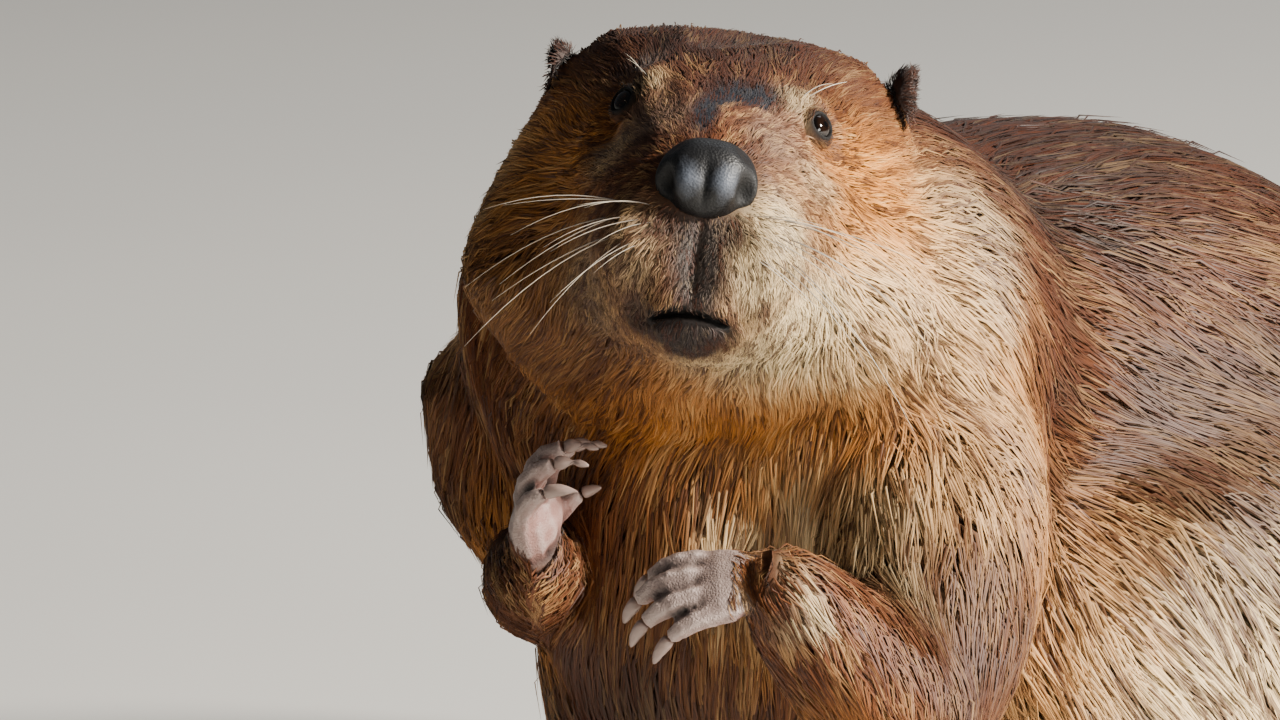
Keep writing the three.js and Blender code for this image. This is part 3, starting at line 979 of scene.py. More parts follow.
@dataclass(frozen=True)
class CoatFinish(Finish):
    """Hair, or the skin under it, in the colours of the marks."""

    name: str = "coat_hair"
    plain: str = "75401c"
    roughness: float = 0.5
    underneath: bool = False

    def material(self) -> Material:
        """Makes the material, which reads the marks and strands that the mesh carries.

        Returns:
            The material.
        """
        shader = Shader(self.name)
        rust, gold, cream = shader.parts("warm_marks")
        umber, grey, slate = shader.parts("cool_marks")
        colour: Any = self.plain
        for pigment, share in zip(Pigment, (rust, gold, cream, umber, grey, slate)):
            colour = shader.mixed(colour, pigment.value, share)
        if self.underneath:
            return self._skin(shader, colour, slate)
        return self._hair(shader, colour, (1.0 - 0.8 * umber) * (1.0 - 0.94 * slate))

    def _hair(self, shader: Shader, colour: Any, bleached: Value) -> Material:
        """Darkens each tuft towards its root, partly for the darker underfur and partly as painted shade deep
        in the coat, and makes neighbours differ.

        Args:
            shader: The shader.
            colour: The colour of the marks.
            bleached: How pale the palest tufts may be.

        Returns:
            The material.
        """
        luck, along, across = shader.parts("strand")
        dark = shader.dimmed(shader.mixed(colour, "8a4210", 0.6), 0.34)
        pale = shader.mixed(colour, "eec07e", 0.46 * bleached)
        tone = shader.mixed(dark, colour, luck.between(0.18, 0.56))
        tone = shader.mixed(tone, pale, luck.between(0.62, 0.95))
        # Darker towards the root: partly darker underfur, partly painted shade deep in the coat.
        tone = shader.dimmed(tone, 0.38 + 0.7 * along.between(0.0, 0.7))
        strands = (across * 7.0 + luck * 60.0).waved()
        tone = shader.dimmed(tone, 0.92 + 0.24 * strands)
        rough = self.roughness + 0.12 * luck
        return shader.dress(
            Base_Color=tone, Roughness=rough, Specular_IOR_Level=0.34, Sheen_Weight=0.04, Sheen_Roughness=0.4
        )

    def _skin(self, shader: Shader, colour: Any, bare: Value) -> Material:
        """Colours the skin as dark underfur, partly as painted shade deep in the coat, and as leather where
        it is bare, with painted shade in its creases and painted highlights on its ridges.

        Args:
            shader: The shader.
            colour: The colour of the marks.
            bare: Where dark skin shows.

        Returns:
            The material.
        """
        naked, special, crease_and_ridge_light = shader.parts("bare_marks")
        fine = shader.noise(1100.0, 3.0)
        coarse = shader.noise(160.0, 2.0)
        # Dimmed far down: partly the dark colour of underfur, partly painted shade deep in the coat.
        fur = shader.dimmed(colour, (0.26 + 0.3 * fine + 0.5 * bare) * (1.0 - 0.85 * special))
        # Bare skin gets a painted highlight on its ridges and painted shade in its creases.
        raised, sunk = (0.5 - crease_and_ridge_light).between(0.04, 0.3), (crease_and_ridge_light - 0.5).between(0.02, 0.4)
        hide = shader.mixed("a08d85", "73605b", coarse)
        hide = shader.mixed(hide, "8e665d", special * 0.8)
        hide = shader.mixed(hide, "bba79f", raised * 0.7)
        hide = shader.dimmed(hide, (1.0 - 0.6 * bare) * (0.8 + 0.4 * fine) * (1.0 - 0.85 * sunk))
        tone = shader.mixed(fur, hide, naked)
        wrinkles = shader.cells(800.0, "DISTANCE_TO_EDGE").between(0.0, 0.3)
        relief = wrinkles * 0.45 * naked + fine * 0.6
        shader.bumped(relief, 0.4, 0.7)
        rough = 0.78 - 0.26 * naked - 0.15 * bare
        return shader.dress(Base_Color=tone, Roughness=rough, Specular_IOR_Level=0.4)


@dataclass(frozen=True)
class NoseFinish(Finish):
    """Moist black leather with fine pebbles, painted shade in the nostrils and the groove, and a painted
    blue-grey sheen on the lobes.
    """

    name: str = "nose_leather"

    def material(self) -> Material:
        """Makes the material.

        Returns:
            The material.
        """
        shader = Shader(self.name)
        nostril_shade, lobe, groove = shader.parts("leather")
        pebbles = shader.cells(1100.0)
        patches = shader.noise(160.0, 3.0)
        # The lobes are painted paler blue-grey as a painted sheen.
        tone = shader.mixed("0f0f11", "575d68", (lobe * 1.1 + patches - 0.7).clamped())
        # The nostrils and the groove are darkened as painted shade in their dents.
        tone = shader.dimmed(tone, (1.0 - 0.95 * nostril_shade - 0.55 * groove).clamped() * (0.8 + 0.4 * pebbles))
        shader.bumped(pebbles, 0.3, 0.5)
        rough = 0.4 + 0.2 * patches + 0.3 * nostril_shade
        return shader.dress(Base_Color=tone, Roughness=rough, Specular_IOR_Level=0.45)


@dataclass(frozen=True)
class EyeFinish(Finish):
    """A wet dark eye with a deep brown iris."""

    name: str = "eye_wet"

    def material(self) -> Material:
        """Makes the material.

        Returns:
            The material.
        """
        shader = Shader(self.name)
        iris, _, _ = shader.parts("iris")
        streaks = shader.noise(1500.0, 2.0)
        brown = shader.mixed("120905", "1d1008", streaks)
        tone = shader.mixed("050404", brown, iris)
        return shader.dress(Base_Color=tone, Roughness=0.07, Specular_IOR_Level=0.4)


@dataclass(frozen=True)
class ClawFinish(Finish):
    """Blunt horn: dark pinkish brown, paler at the tip, with fine lengthwise lines."""

    name: str = "claw_horn"

    def material(self) -> Material:
        """Makes the material.

        Returns:
            The material.
        """
        shader = Shader(self.name)
        along, luck, _ = shader.parts("claw")
        streaks = shader.noise(700.0, 2.0, 0.6)
        tone = shader.mixed("5a3a34", "a37668", (along * 0.7 + 0.3 * streaks).clamped())
        tone = shader.dimmed(tone, 0.8 + 0.35 * luck)
        shader.bumped(streaks, 0.25, 0.5)
        return shader.dress(Base_Color=tone, Roughness=0.34 + 0.15 * streaks, Specular_IOR_Level=0.5)


@dataclass(frozen=True)
class EarFinish(Finish):
    """Thin dark skin under short black-brown hair."""

    name: str = "ear_skin"

    def material(self) -> Material:
        """Makes the material.

        Returns:
            The material.
        """
        shader = Shader(self.name)
        fine = shader.noise(1400.0, 3.0)
        coarse = shader.noise(260.0, 2.0)
        tone = shader.mixed("2a2220", "5b4a44", coarse.between(0.3, 0.8))
        shader.bumped(fine, 0.4, 0.7)
        return shader.dress(Base_Color=tone, Roughness=0.72 - 0.15 * coarse, Specular_IOR_Level=0.35)


@dataclass(frozen=True)
class TailFinish(Finish):
    """Dark grey-brown leather; the scales are paler on their crowns."""

    name: str = "tail_scale_horn"
    scales: bool = True

    def material(self) -> Material:
        """Makes the material.

        Returns:
            The material.
        """
        shader = Shader(self.name)
        patches = shader.noise(38.0, 3.0)
        grain = shader.noise(900.0, 3.0)
        tone = shader.mixed("35302d", "5a514b", patches.between(0.3, 0.7))
        if self.scales:
            crown, luck, _ = shader.parts("scale")
            tone = shader.dimmed(tone, 0.55 + 0.5 * crown + 0.3 * luck)
        else:
            tone = shader.dimmed(tone, 0.4 + 0.2 * grain)
        shader.bumped(grain, 0.3, 0.6)
        return shader.dress(Base_Color=tone, Roughness=0.5 + 0.2 * grain, Specular_IOR_Level=0.45)


@dataclass(frozen=True)
class WhiskerFinish(Finish):
    """Stiff pale bristle, darker at the root."""

    name: str = "whisker_bristle"

    def material(self) -> Material:
        """Makes the material.

        Returns:
            The material.
        """
        shader = Shader(self.name)
        along, luck, _ = shader.parts("bristle")
        tone = shader.mixed("5c4a3e", "e6d9c4", (along * 1.6).clamped())
        tone = shader.dimmed(tone, 0.55 + 0.55 * luck)
        return shader.dress(Base_Color=tone, Roughness=0.34 + 0.1 * luck, Specular_IOR_Level=0.5)


@dataclass(frozen=True)
class FloorFinish(Finish):
    """A plain pale floor."""

    name: str = "studio_floor"

    def material(self) -> Material:
        """Makes the material.

        Returns:
            The material.
        """
        shader = Shader(self.name)
        faint = shader.noise(3.0, 2.0)
        tone = shader.mixed("dddbd6", "d8d6d1", faint)
        return shader.dress(Base_Color=tone, Roughness=0.85)


# ---- skin


@dataclass(frozen=True)
class Stroke:
    """One stroke of the hand along the coat, in the body's millimetres."""

    start: Place
    end: Place
    reach: float
    mirrored: bool = True

    def _one(self, points: Array, sign: float) -> Array:
        """The pull of the stroke on one side of the body.

        Args:
            points: Points in the body's millimetres.
            sign: 1 for the stroke as given, -1 for its mirror image.

        Returns:
            The stroke's direction at each point, weighted by how near it is.
        """
        flip = np.array([sign, 1.0, 1.0])
        start = np.array(self.start) * flip
        along = np.array(self.end) * flip - start
        share = np.clip((points - start) @ along / (along @ along), 0.0, 1.0)
        away = np.linalg.norm(points - start - share[:, None] * along, axis=1)
        return np.exp(-((away / self.reach) ** 2))[:, None] * unit(along)

    def pull(self, points: Array) -> Array:
        """The pull of the stroke, on both sides if it is mirrored."""
        total = self._one(points, 1.0)
        return total + self._one(points, -1.0) if self.mirrored else total


STROKES: tuple[Stroke, ...] = (
    Stroke((0, -40, 350), (0, 60, 325), 80, ALONE),
    Stroke((0, 60, 325), (0, 170, 270), 90, ALONE),
    Stroke((0, 170, 270), (0, 235, 160), 80, ALONE),
    Stroke((0, 235, 160), (0, 262, 70), 60, ALONE),
    Stroke((0, 250, 70), (0, 340, 22), 45, ALONE),
    Stroke((95, -70, 310), (118, 20, 262), 55),
    Stroke((118, 20, 270), (140, 90, 195), 65),
    Stroke((140, 90, 195), (130, 160, 100), 65),
    Stroke((100, 190, 160), (80, 230, 70), 50),
    Stroke((0, -120, 290), (0, -145, 200), 55, ALONE),
    Stroke((0, -145, 200), (0, -128, 110), 55, ALONE),
    Stroke((0, -128, 110), (0, -90, 25), 60, ALONE),
    Stroke((70, -110, 270), (78, -130, 160), 45),
    Stroke((78, -110, 160), (64, -100, 60), 50),
    Stroke((70, -50, 262), (116, -100, 190), 48),
    Stroke((116, -100, 190), (126, -122, 148), 34),
    Stroke((100, -168, 226), (120, -142, 160), 32, ALONE),
    Stroke((-66, -92, 224), (-52, -122, 160), 28, ALONE),
    Stroke((-36, -132, 186), (-11, -171, 211), 18, ALONE),
    Stroke((96, 20, 240), (124, 60, 150), 60),
    Stroke((112, -50, 160), (130, 20, 80), 60),
    Stroke((124, 60, 150), (124, 110, 60), 60),
    Stroke((112, -30, 90), (120, 50, 24), 40),
    Stroke((118, 60, 20), (118, -60, 10), 20),
)

HEAD_DABS: tuple[Dab, ...] = (
    Dab((36, -100, 12), (14, 16, 10), (-1.6, 1.2, 0)),
    Dab((33, -92, 40), (13, 14, 7), (0.8, -1, 1.6)),
    Dab((0, -112, 34), (11, 26, 14), (0, 0.4, -1.6), ALONE),
    Dab((17, -124, 14), (7, 16, 9), (1, -0.4, 0.8)),
    Dab((22, -146, -24), (13, 13, 15), (2, -2.8, 0)),
    Dab((10, -149, -36), (7.5, 9, 10), (0.6, -2.2, -0.4)),
    Dab((0, -152, -30), (2.6, 8, 20), (0, 2.6, 0), ALONE),
    Dab((0, -134, -60), (13, 10, 6.5), (0, -2.6, -0.6), ALONE),
    Dab((30, -118, -48), (12, 18, 10), (1.6, -0.8, -0.8)),
    Dab((19, -140, -49), (5, 7, 5), (-1.6, 2, 0.6)),
)


@dataclass(frozen=True)
class Lid:
    """The lids round one eye, in millimetres on axes through the eye's middle.

    The axes are towards the nose, upwards, and out of the head.
    """

    radius: float = 7.0
    open_across: float = 4.7
    open_up: float = 4.4
    thick: float = 0.8
    reach: float = 13.0
    facing: Place = (0.76, -0.54, 0.36)

    def axes(self, side: Side) -> Array:
        """The lid's axes in the head.

        Args:
            side: Which eye it is.

        Returns:
            The axes as rows.
        """
        out = unit(np.array(self.facing) * np.array([side.value, 1.0, 1.0]))
        up = unit(np.array([0.0, 0.0, 1.0]) - out[2] * out)
        return np.stack([np.cross(up, out) * -side.value, up, out])

    def shape(self, points: Array, centre: Array, side: Side) -> Array:
        """Draws the skin over the eye and opens it.

        Args:
            points: Points in the head's millimetres.
            centre: The middle of the eye.
            side: Which eye it is.

        Returns:
            The moved points.
        """
        axes = self.axes(side)
        own = (points - centre) @ axes.T
        round_ = np.hypot(own[:, 0], own[:, 1])
        near = (round_ < self.reach) & (own[:, 2] > -6.0)
        a, b, c = own[near].T
        corner = 1.0 + 0.1 * ramp(1.0, 4.0, np.abs(a)) * np.sign(a)
        rim = np.hypot(a / (self.open_across * corner), b / self.open_up)
        ball_top = np.sqrt(np.maximum(self.radius**2 - a * a - b * b, 4.0))
        lid_top = np.sqrt(np.maximum((self.radius + self.thick) ** 2 - a * a - b * b, 4.0))
        roll = 0.4 * np.exp(-(((rim - 1.16) / 0.16) ** 2)) - 0.45 * np.exp(-(((rim - 1.62) / 0.2) ** 2))
        inner = ball_top - 1.4
        shaped = inner + (lid_top + roll - inner) * ramp(0.9, 1.03, rim)
        own[near, 2] = c + (shaped - c) * ramp(2.6, 1.5, rim)
        return own @ axes + centre

    def openness(self, points: Array, centre: Array, side: Side, end: float = 1.34) -> Array:
        """How close each point is to the opening.

        Args:
            points: Points in the head's millimetres.
            centre: The middle of the eye.
            side: Which eye it is.
            end: How many times the opening's size the nearness reaches.

        Returns:
            1 in the opening, falling to 0.
        """
        own = (points - centre) @ self.axes(side).T
        rim = np.hypot(own[:, 0] / self.open_across, own[:, 1] / self.open_up)
        return ramp(end, 1.16, rim) * (own[:, 2] > 0.0)


@dataclass
class Skin:
    """The one skin of the animal, with all that the coat needs to know of it."""

    head: HeadFrame
    lid: Lid = field(default_factory=Lid)
    voxel_mm: float = 1.4
    quick_voxels: float = 1.6
    fine_round_eyes_mm: tuple[float, float] = (16.0, 12.0)
    body_faces: int = 110_000
    floor_mm: float = 0.3
    mouth_half: float = 17.0
    mouth_level: float = -50.0
    mouth_curve: float = 0.012
    whorl_mm: float = 13.0
    face_centre: Place = (0.0, -156.0, 0.0)
    fingers_sharper: float = 0.55
    head_wander_mm: float = 1.2
    body_wander_mm: float = 9.0

    def build(self) -> None:
        """Melts the flesh together, draws it in by the coat's depth and models it."""
        self._melt()
        self._know_parts()
        self._draw_in()
        self._model_head()
        self.normals = self.surface.normals()
        self._comb()
        self._mark()
        LOG.info("skin: %d points, %d faces", len(self.surface.points), len(self.surface.faces))

    def _fillers(self) -> list[tuple[Array, Array]]:
        """Makes plugs for the hollows that the eyes and ears leave in the head's solid.

        Returns:
            For each plug its points and its triangles.
        """
        plugs = []
        for side in Side:
            eye = self._eye_centre(side)
            inward = self.lid.axes(side)[2] * -2.6
            plugs.append(ball(eye + inward, (8.0, 8.0, 8.0)))
            root = self.head.inside(middle_of(f"ear_{side.label}")[None])[0]
            plugs.append(ball(root + np.array([-9.0 * side.value, 0.0, -8.0]), (12.0, 12.0, 12.0)))
        return [(self.head.outside(points), faces) for points, faces in plugs]

    def _eye_centre(self, side: Side) -> Array:
        """The middle of one eye in the head's millimetres."""
        return self.head.inside(middle_of(f"eye_{side.label}")[None])[0]

    def _eye_distance(self, own: Array) -> Array:
        """How far points are from the nearer eye, all in the head's millimetres."""
        return np.minimum(*(np.linalg.norm(own - self._eye_centre(side), axis=1) for side in Side))

    def _held(self, points: Array) -> Array:
        """Where the skin keeps all its faces: the face, the hands and the feet.

        Args:
            points: Points in metres.

        Returns:
            True at the points that are kept.
        """
        own = self.head.inside(points)
        held = (own[:, 1] < -58.0) & (own[:, 2] > -78.0) & (np.abs(own[:, 0]) < 74.0)
        for side in Side:
            for name in ("forepaw", "hind_foot"):
                low, high = (np.array(corner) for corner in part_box(f"{name}_{side.label}"))
                margin = 5.0 * MM
                held |= np.all((points > low - margin) & (points < high + margin), axis=1)
        return held

    def _melt(self) -> None:
        """Makes one closed skin, fine where it is modelled and coarse elsewhere."""
        self.flesh_names = [*MIDDLE, *(f"{name}_{side.label}" for name in PAIRED for side in Side)]
        self.part_names = [*self.flesh_names, "nose"]
        points, faces, self.flesh_owner = solids(self.part_names)
        self.flesh_tree = BVHTree.FromPolygons(points.tolist(), faces.tolist())
        for plug_points, plug_faces in self._fillers():
            faces = np.vstack([faces, plug_faces + len(points)])
            points = np.vstack([points, plug_points])
        voxel = self.voxel_mm * 1.0
        raw = remeshed(points, faces, voxel)
        held = self._held(points_of(raw))
        share = (2.0 * held.sum() + self.body_faces) / (2 * len(raw.polygons))
        settings = {
            "ratio": min(1.0, share),
            "vertex_group": "held",
            "vertex_group_factor": 100.0,
            "invert_vertex_group": True,
        }
        self.surface = taken(modified(raw, "DECIMATE", settings, held))
        for reach in self.fine_round_eyes_mm:
            self.surface.refine(self._eye_distance(self.head.inside(self.surface.points)) < reach)
        LOG.info("melted: %d faces, %d points held", len(self.surface.faces), held.sum())

    def _know_parts(self) -> None:
        """Finds which part of the body each vertex belongs to, and how hair grows there."""
        names, find = self.part_names, self.flesh_tree.find_nearest
        nearest = [find(point)[2] for point in self.surface.points.tolist()]
        self.part = self.flesh_owner[np.array(nearest)]
        kinds = [name.rsplit("_", 1)[0] if name.endswith(("left", "right")) else name for name in names]
        table = np.array([GROWTH[kind].row() for kind in kinds])
        rows = table[self.part]
        own = self.head.inside(self.surface.points)
        on_head = np.isin(self.part, [names.index("head"), names.index("lower_jaw")])[:, None]
        x, y, z = own.T
        cheek = ramp(24.0, 56.0, np.abs(x)) * ramp(24.0, -6.0, z) + ramp(-44.0, -66.0, z)
        cheek = np.minimum(cheek, 1.0) * ramp(-112.0, -84.0, y)
        muzzle = ramp(-98.0, -126.0, y)
        brow = bell(own, (3.0, -112.0, 32.0), (30.0, 22.0, 18.0))
        brow = np.maximum(brow, ramp(21.0, 10.0, self._eye_distance(own)))
        brow = np.minimum(brow * 1.5, 1.0)
        for share, growth in ((cheek, CHEEK), (muzzle, MUZZLE), (brow, BROW)):
            rows = rows + on_head * share[:, None] * (np.array(growth.row()) - rows)
        self.growth = self.surface.spread(rows, 30)

    def _is_part(self, *starts: str) -> Array:
        """1 on the vertices of the parts whose names start so, 0 elsewhere."""
        return np.array([name.startswith(starts) for name in self.part_names], float)[self.part]

    def _draw_in(self) -> None:
        """Smooths the skin and moves it in under the outline by the coat's depth."""
        surface = self.surface
        held = self._held(surface.points).astype(float)[:, None]
        soft = 1.0 - surface.spread(held, 12)[:, 0]
        surface.relax(3, swell=1.04)
        surface.relax(14, where=soft)
        sole = ramp(3.0, 0.5, surface.points[:, 2] / MM)
        normals = unit(surface.spread(surface.normals(), 4))
        depth = self.growth[:, 0] * MM
        surface.points = surface.points - normals * depth[:, None]
        surface.relax(4, where=soft)
        limbs = surface.spread(self._is_part("forepaw", "hind_foot"), 4)
        detail = surface.points - surface.spread(surface.points, 8)
        surface.points = surface.points + self.fingers_sharper * limbs * detail
        low = self.floor_mm * MM + 0.4 * MM * (1.0 - sole)
        surface.points[:, 2] = np.maximum(surface.points[:, 2], low)

    def _model_head(self) -> None:
        """Models the face: hollows, pads, lips, the slit of the mouth and the lids."""
        own = self.head.inside(self.surface.points)
        inside = own[:, 1] < -60.0
        face = own[inside]
        for dab in HEAD_DABS:
            face = face + dab.apply(face)
        face = face + self._mouth(face)
        pad, middle = Pad(), np.array(Pad().middle)
        reach = pad.reach(face)
        sunk = 1.0 + (np.minimum(1.0, 0.74 / reach) - 1.0) * ramp(1.16, 1.02, reach)
        face = middle + (face - middle) * sunk[:, None]
        own[inside] = face
        self.surface.points = self.head.outside(own)
        for side in Side:
            own = self.lid.shape(own, self._eye_centre(side), side)
        near = self._eye_distance(own) < self.lid.reach + 2.0
        self.surface.points = self.head.outside(own)
        self.surface.relax(2, where=near * 0.5, swell=0.9)

    def _mouth(self, face: Array) -> Array:
        """The slit between the lips and the roll of each lip.

        Args:
            face: Points in the head's millimetres.

        Returns:
            The moves.
        """
        x, y, z = face.T
        line = self.mouth_level - self.mouth_curve * x * x + 2.0
        across = ramp(self.mouth_half, self.mouth_half * 0.55, np.abs(x)) * ramp(-112.0, -126.0, y)
        slit = np.exp(-(((z - line) / 1.9) ** 2)) * across
        upper = np.exp(-(((z - line - 4.2) / 3.0) ** 2)) * across
        moves = np.zeros_like(face)
        moves[:, 1] = 6.5 * slit - 1.6 * upper
        moves[:, 2] = -1.6 * upper
        return moves

    def _comb(self) -> None:
        """Lays the direction of the hair on every vertex."""
        points = self.surface.points
        own = self.head.inside(points)
        body = self.head.body(points)
        flow = np.zeros_like(points)
        for stroke in STROKES:
            flow += stroke.pull(body)
        flow = across_plane(flow + np.array([0.0, 0.02, -0.05]), self.normals)
        face = unit(own - np.array(self.face_centre))
        face = face + np.array([0.0, 0.45, 0.0])
        face = face - np.array([0.0, 0.0, 0.55]) * ramp(34.0, -40.0, own[:, 2])[:, None]
        for side in Side:
            centre = self._eye_centre(side)
            away = own - centre
            near = np.exp(-((np.linalg.norm(away, axis=1) / self.whorl_mm) ** 2))[:, None]
            face = face + 1.6 * near * unit(away)
        face = across_plane(face @ self.head.axes.T, self.normals)
        on_head = np.isin(self.part, [self.part_names.index(n) for n in ("head", "lower_jaw", "nose")])
        share = self.surface.spread(on_head.astype(float), 30)
        flow = flow + share * (face - flow)
        flow = across_plane(self.surface.spread(flow, 14), self.normals)
        swing = 0.26 * ripple(body, 46.0, 5) + 0.21 * ripple(body, 17.0, 6)
        side_way = np.cross(self.normals, flow)
        self.flow = flow * np.cos(swing)[:, None] + side_way * np.sin(swing)[:, None]

    def _mark(self) -> None:
        """Lays the marks of the coat and the bare places on every vertex."""
        points = self.surface.points
        own = self.head.inside(points)
        body = self.head.body(points)
        wander = np.stack([ripple(body, 30.0, 11 + k) for k in range(3)], axis=1)
        weights = {pigment: np.zeros(len(points)) for pigment in Pigment}
        on_head, on_body = own + self.head_wander_mm * wander, body + self.body_wander_mm * wander
        for table, where in ((HEAD_MARKS, on_head), (BODY_MARKS, on_body)):
            for pigment, marks in table.items():
                for mark in marks:
                    weights[pigment] = 1.0 - (1.0 - weights[pigment]) * (1.0 - mark.weigh(where))
        self.warm, self.cool = np.split(np.stack([*weights.values()], axis=1), 2, axis=1)
        self._bare(own, body)

    def _bare(self, own: Array, body: Array) -> None:
        """Finds where no hair grows, where skin shows and where it is pink, and how concave the skin is, for
        painted shade in its creases and painted highlights on its ridges.

        Args:
            own: Every vertex in the head's millimetres.
            body: Every vertex in the body's millimetres; not used.
        """
        naked = self.surface.spread(self._is_part("forepaw", "hind_foot"), 5)[:, 0]
        under = ramp(-0.2, -0.6, self.normals[:, 2]) * self._is_part("hind_foot")
        palm = np.zeros(len(own))
        for side, back in BACK_OF_HAND.items():
            hand = self._is_part(f"forepaw_{side.label}")
            palm = np.maximum(palm, hand * ramp(0.1, -0.3, self.normals @ unit(np.array(back))))
        lids = np.maximum(*(self.lid.openness(own, self._eye_centre(side), side) for side in Side))
        pad = ramp(1.1, 1.02, Pad().reach(own))
        line = self.mouth_level + 1.4 - self.mouth_curve * own[:, 0] ** 2
        slit = np.abs(own[:, 2] - line) < 1.9
        lips = slit & (np.abs(own[:, 0]) < self.mouth_half * 0.85) & (own[:, 1] < -118.0)
        scars = 0.4 * ramp(0.6, 0.9, self.cool[:, 2])
        rims = np.maximum(lids, lips)
        for side in Side:
            dark = self.lid.openness(own, self._eye_centre(side), side, 1.9)
            self.cool[:, 0] = np.maximum(self.cool[:, 0], dark)
        self.cool[:, 0] = np.maximum(self.cool[:, 0], rims)
        self.warm = self.warm * (1.0 - 0.8 * rims[:, None])
        wrists = self.surface.spread(self._is_part("forearm", "shank"), 70)[:, 0]
        fingers = naked * ramp(0.1, 0.03, wrists)
        hidden = np.maximum.reduce([lids, lips, pad, under, palm, scars, fingers])
        self.hairless = np.clip(hidden, 0.0, 1.0)
        # How concave the skin is: it drives painted shade in creases and painted highlights on ridges of bare
        # skin.
        smooth = self.surface.spread(self.surface.points, 8)
        crease_and_ridge_light = np.sum((smooth - self.surface.points) * self.normals, axis=1) / MM
        special = np.maximum.reduce([palm, under, rims])
        self.naked = np.stack([naked, special, np.clip(0.5 + 0.5 * crease_and_ridge_light, 0.0, 1.0)], axis=1)

    def piece(self) -> Object:
        """Makes the skin's object and puts it in place of the flesh.

        Returns:
            The object.
        """
        mesh = self.surface.mesh("skin")
        carry(mesh, "warm_marks", self.warm)
        carry(mesh, "cool_marks", self.cool)
        # The third column carries how concave the skin is, for painted crease shade and ridge highlights.
        carry(mesh, "bare_marks", self.naked)
        made = placed("skin", mesh, CoatFinish("skin_underfur", underneath=True))
        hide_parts(*self.flesh_names)
        return made


# ---- coat


def unwrap(points: Array, faces: Array) -> Array:
    """Lays faces out flat by the shape that they have.

    Args:
        points: Rows of x, y, z.
        faces: Triangles.

    Returns:
        For each face, the places of its three corners on the map.
    """
    used, compact = np.unique(faces, return_inverse=True)
    mesh = mesh_of("pattern", points[used], compact.reshape(-1, 3))
    carrier = new_object("pattern", mesh)
    mesh.uv_layers.new(name=BAKE_MAP)
    for other in bpy.context.selected_objects:
        other.select_set(False)
    carrier.select_set(True)
    bpy.context.view_layer.objects.active = carrier
    bpy.ops.object.mode_set(mode="EDIT")
    bpy.ops.mesh.select_all(action="SELECT")
    bpy.ops.uv.smart_project(angle_limit=math.radians(66.0), island_margin=0.004)
    bpy.ops.object.mode_set(mode="OBJECT")
    flat = np.empty(len(mesh.loops) * 2, np.float32)
    mesh.uv_layers[BAKE_MAP].data.foreach_get("uv", flat)
    bpy.data.objects.remove(carrier)
    bpy.data.meshes.remove(mesh)
    return flat.reshape(-1, 3, 2).astype(float)


TUFT = np.array([(0, 1, 3), (0, 3, 2), (0, 2, 1), (4, 3, 1), (4, 2, 3), (4, 1, 2)])
ALONG = np.array([0.0, 0.45, 0.45, 0.45, 1.0])
ACROSS = np.array([0.0, -1.0, 1.0, 0.3, 0.0])


@dataclass(frozen=True)
class Tufts:
    """Locks of hair that are ready to be made: where each is rooted and how it lies."""

    face: Array
    weights: Array
    root: Array
    middle: Array
    tip: Array
    side: Array
    rise: Array
    width: Array
    luck: Array
    softness: ClassVar[float] = 0.6
    thickness: ClassVar[float] = 0.36
    lowest_mm: ClassVar[float] = 0.25
    island: ClassVar[float] = 0.0015

    def chosen(self, which: Array) -> Tufts:
        """The tufts that a mask picks."""
        return Tufts(*(getattr(self, part.name)[which] for part in fields(self)))

    def mesh(self, name: str, surface: Surface, faces: Array) -> Mesh:
        """Makes one closed, tapering, bent lock for each tuft.

        Args:
            name: The mesh's name.
            surface: The skin that the tufts grow on.
            faces: The faces of skin that are laid out for the bake map.

        Returns:
            The mesh, with what the hair's material reads and the bake map.
        """
        count, size = len(self.face), len(ALONG)
        half = self.side * (self.width / 2.0)[:, None]
        rise = self.rise * (self.width * self.thickness)[:, None]
        middle = self.middle
        points = np.stack([self.root, middle + half, middle - half, middle + rise, self.tip], axis=1)
        points[:, :, 2] = np.maximum(points[:, :, 2], self.lowest_mm * MM)
        corners = (np.arange(count)[:, None, None] * size + TUFT[None]).reshape(-1, 3)
        mesh = mesh_of(name, points.reshape(-1, 3), corners)
        strand = [np.repeat(self.luck, size), np.tile(ALONG, count), np.tile(ACROSS, count)]
        carry(mesh, "strand", np.stack(strand, axis=1))
        laid = unwrap(surface.points, surface.faces[faces])
        order = np.argsort(faces)
        where = order[np.searchsorted(faces[order], self.face)]
        spot = np.einsum("ij,ijk->ik", self.weights, laid[where])
        offset = self.island * np.stack([ACROSS[TUFT], 2.0 * ALONG[TUFT] - 1.0], axis=-1)
        places = spot[:, None, None, :] + offset[None]
        mesh.uv_layers.new(name=BAKE_MAP).data.foreach_set("uv", places.astype(np.float32).ravel())
        lie = unit(surface.normals()[surface.faces[self.face]].mean(axis=1))
        bulge = np.stack([lie, self.side, -self.side, self.rise, lie], axis=1)
        soft = unit((lie[:, None] * self.softness + bulge * (1.0 - self.softness)).reshape(-1, 3))
        mesh.normals_split_custom_set_from_vertices(soft.tolist())
        return mesh


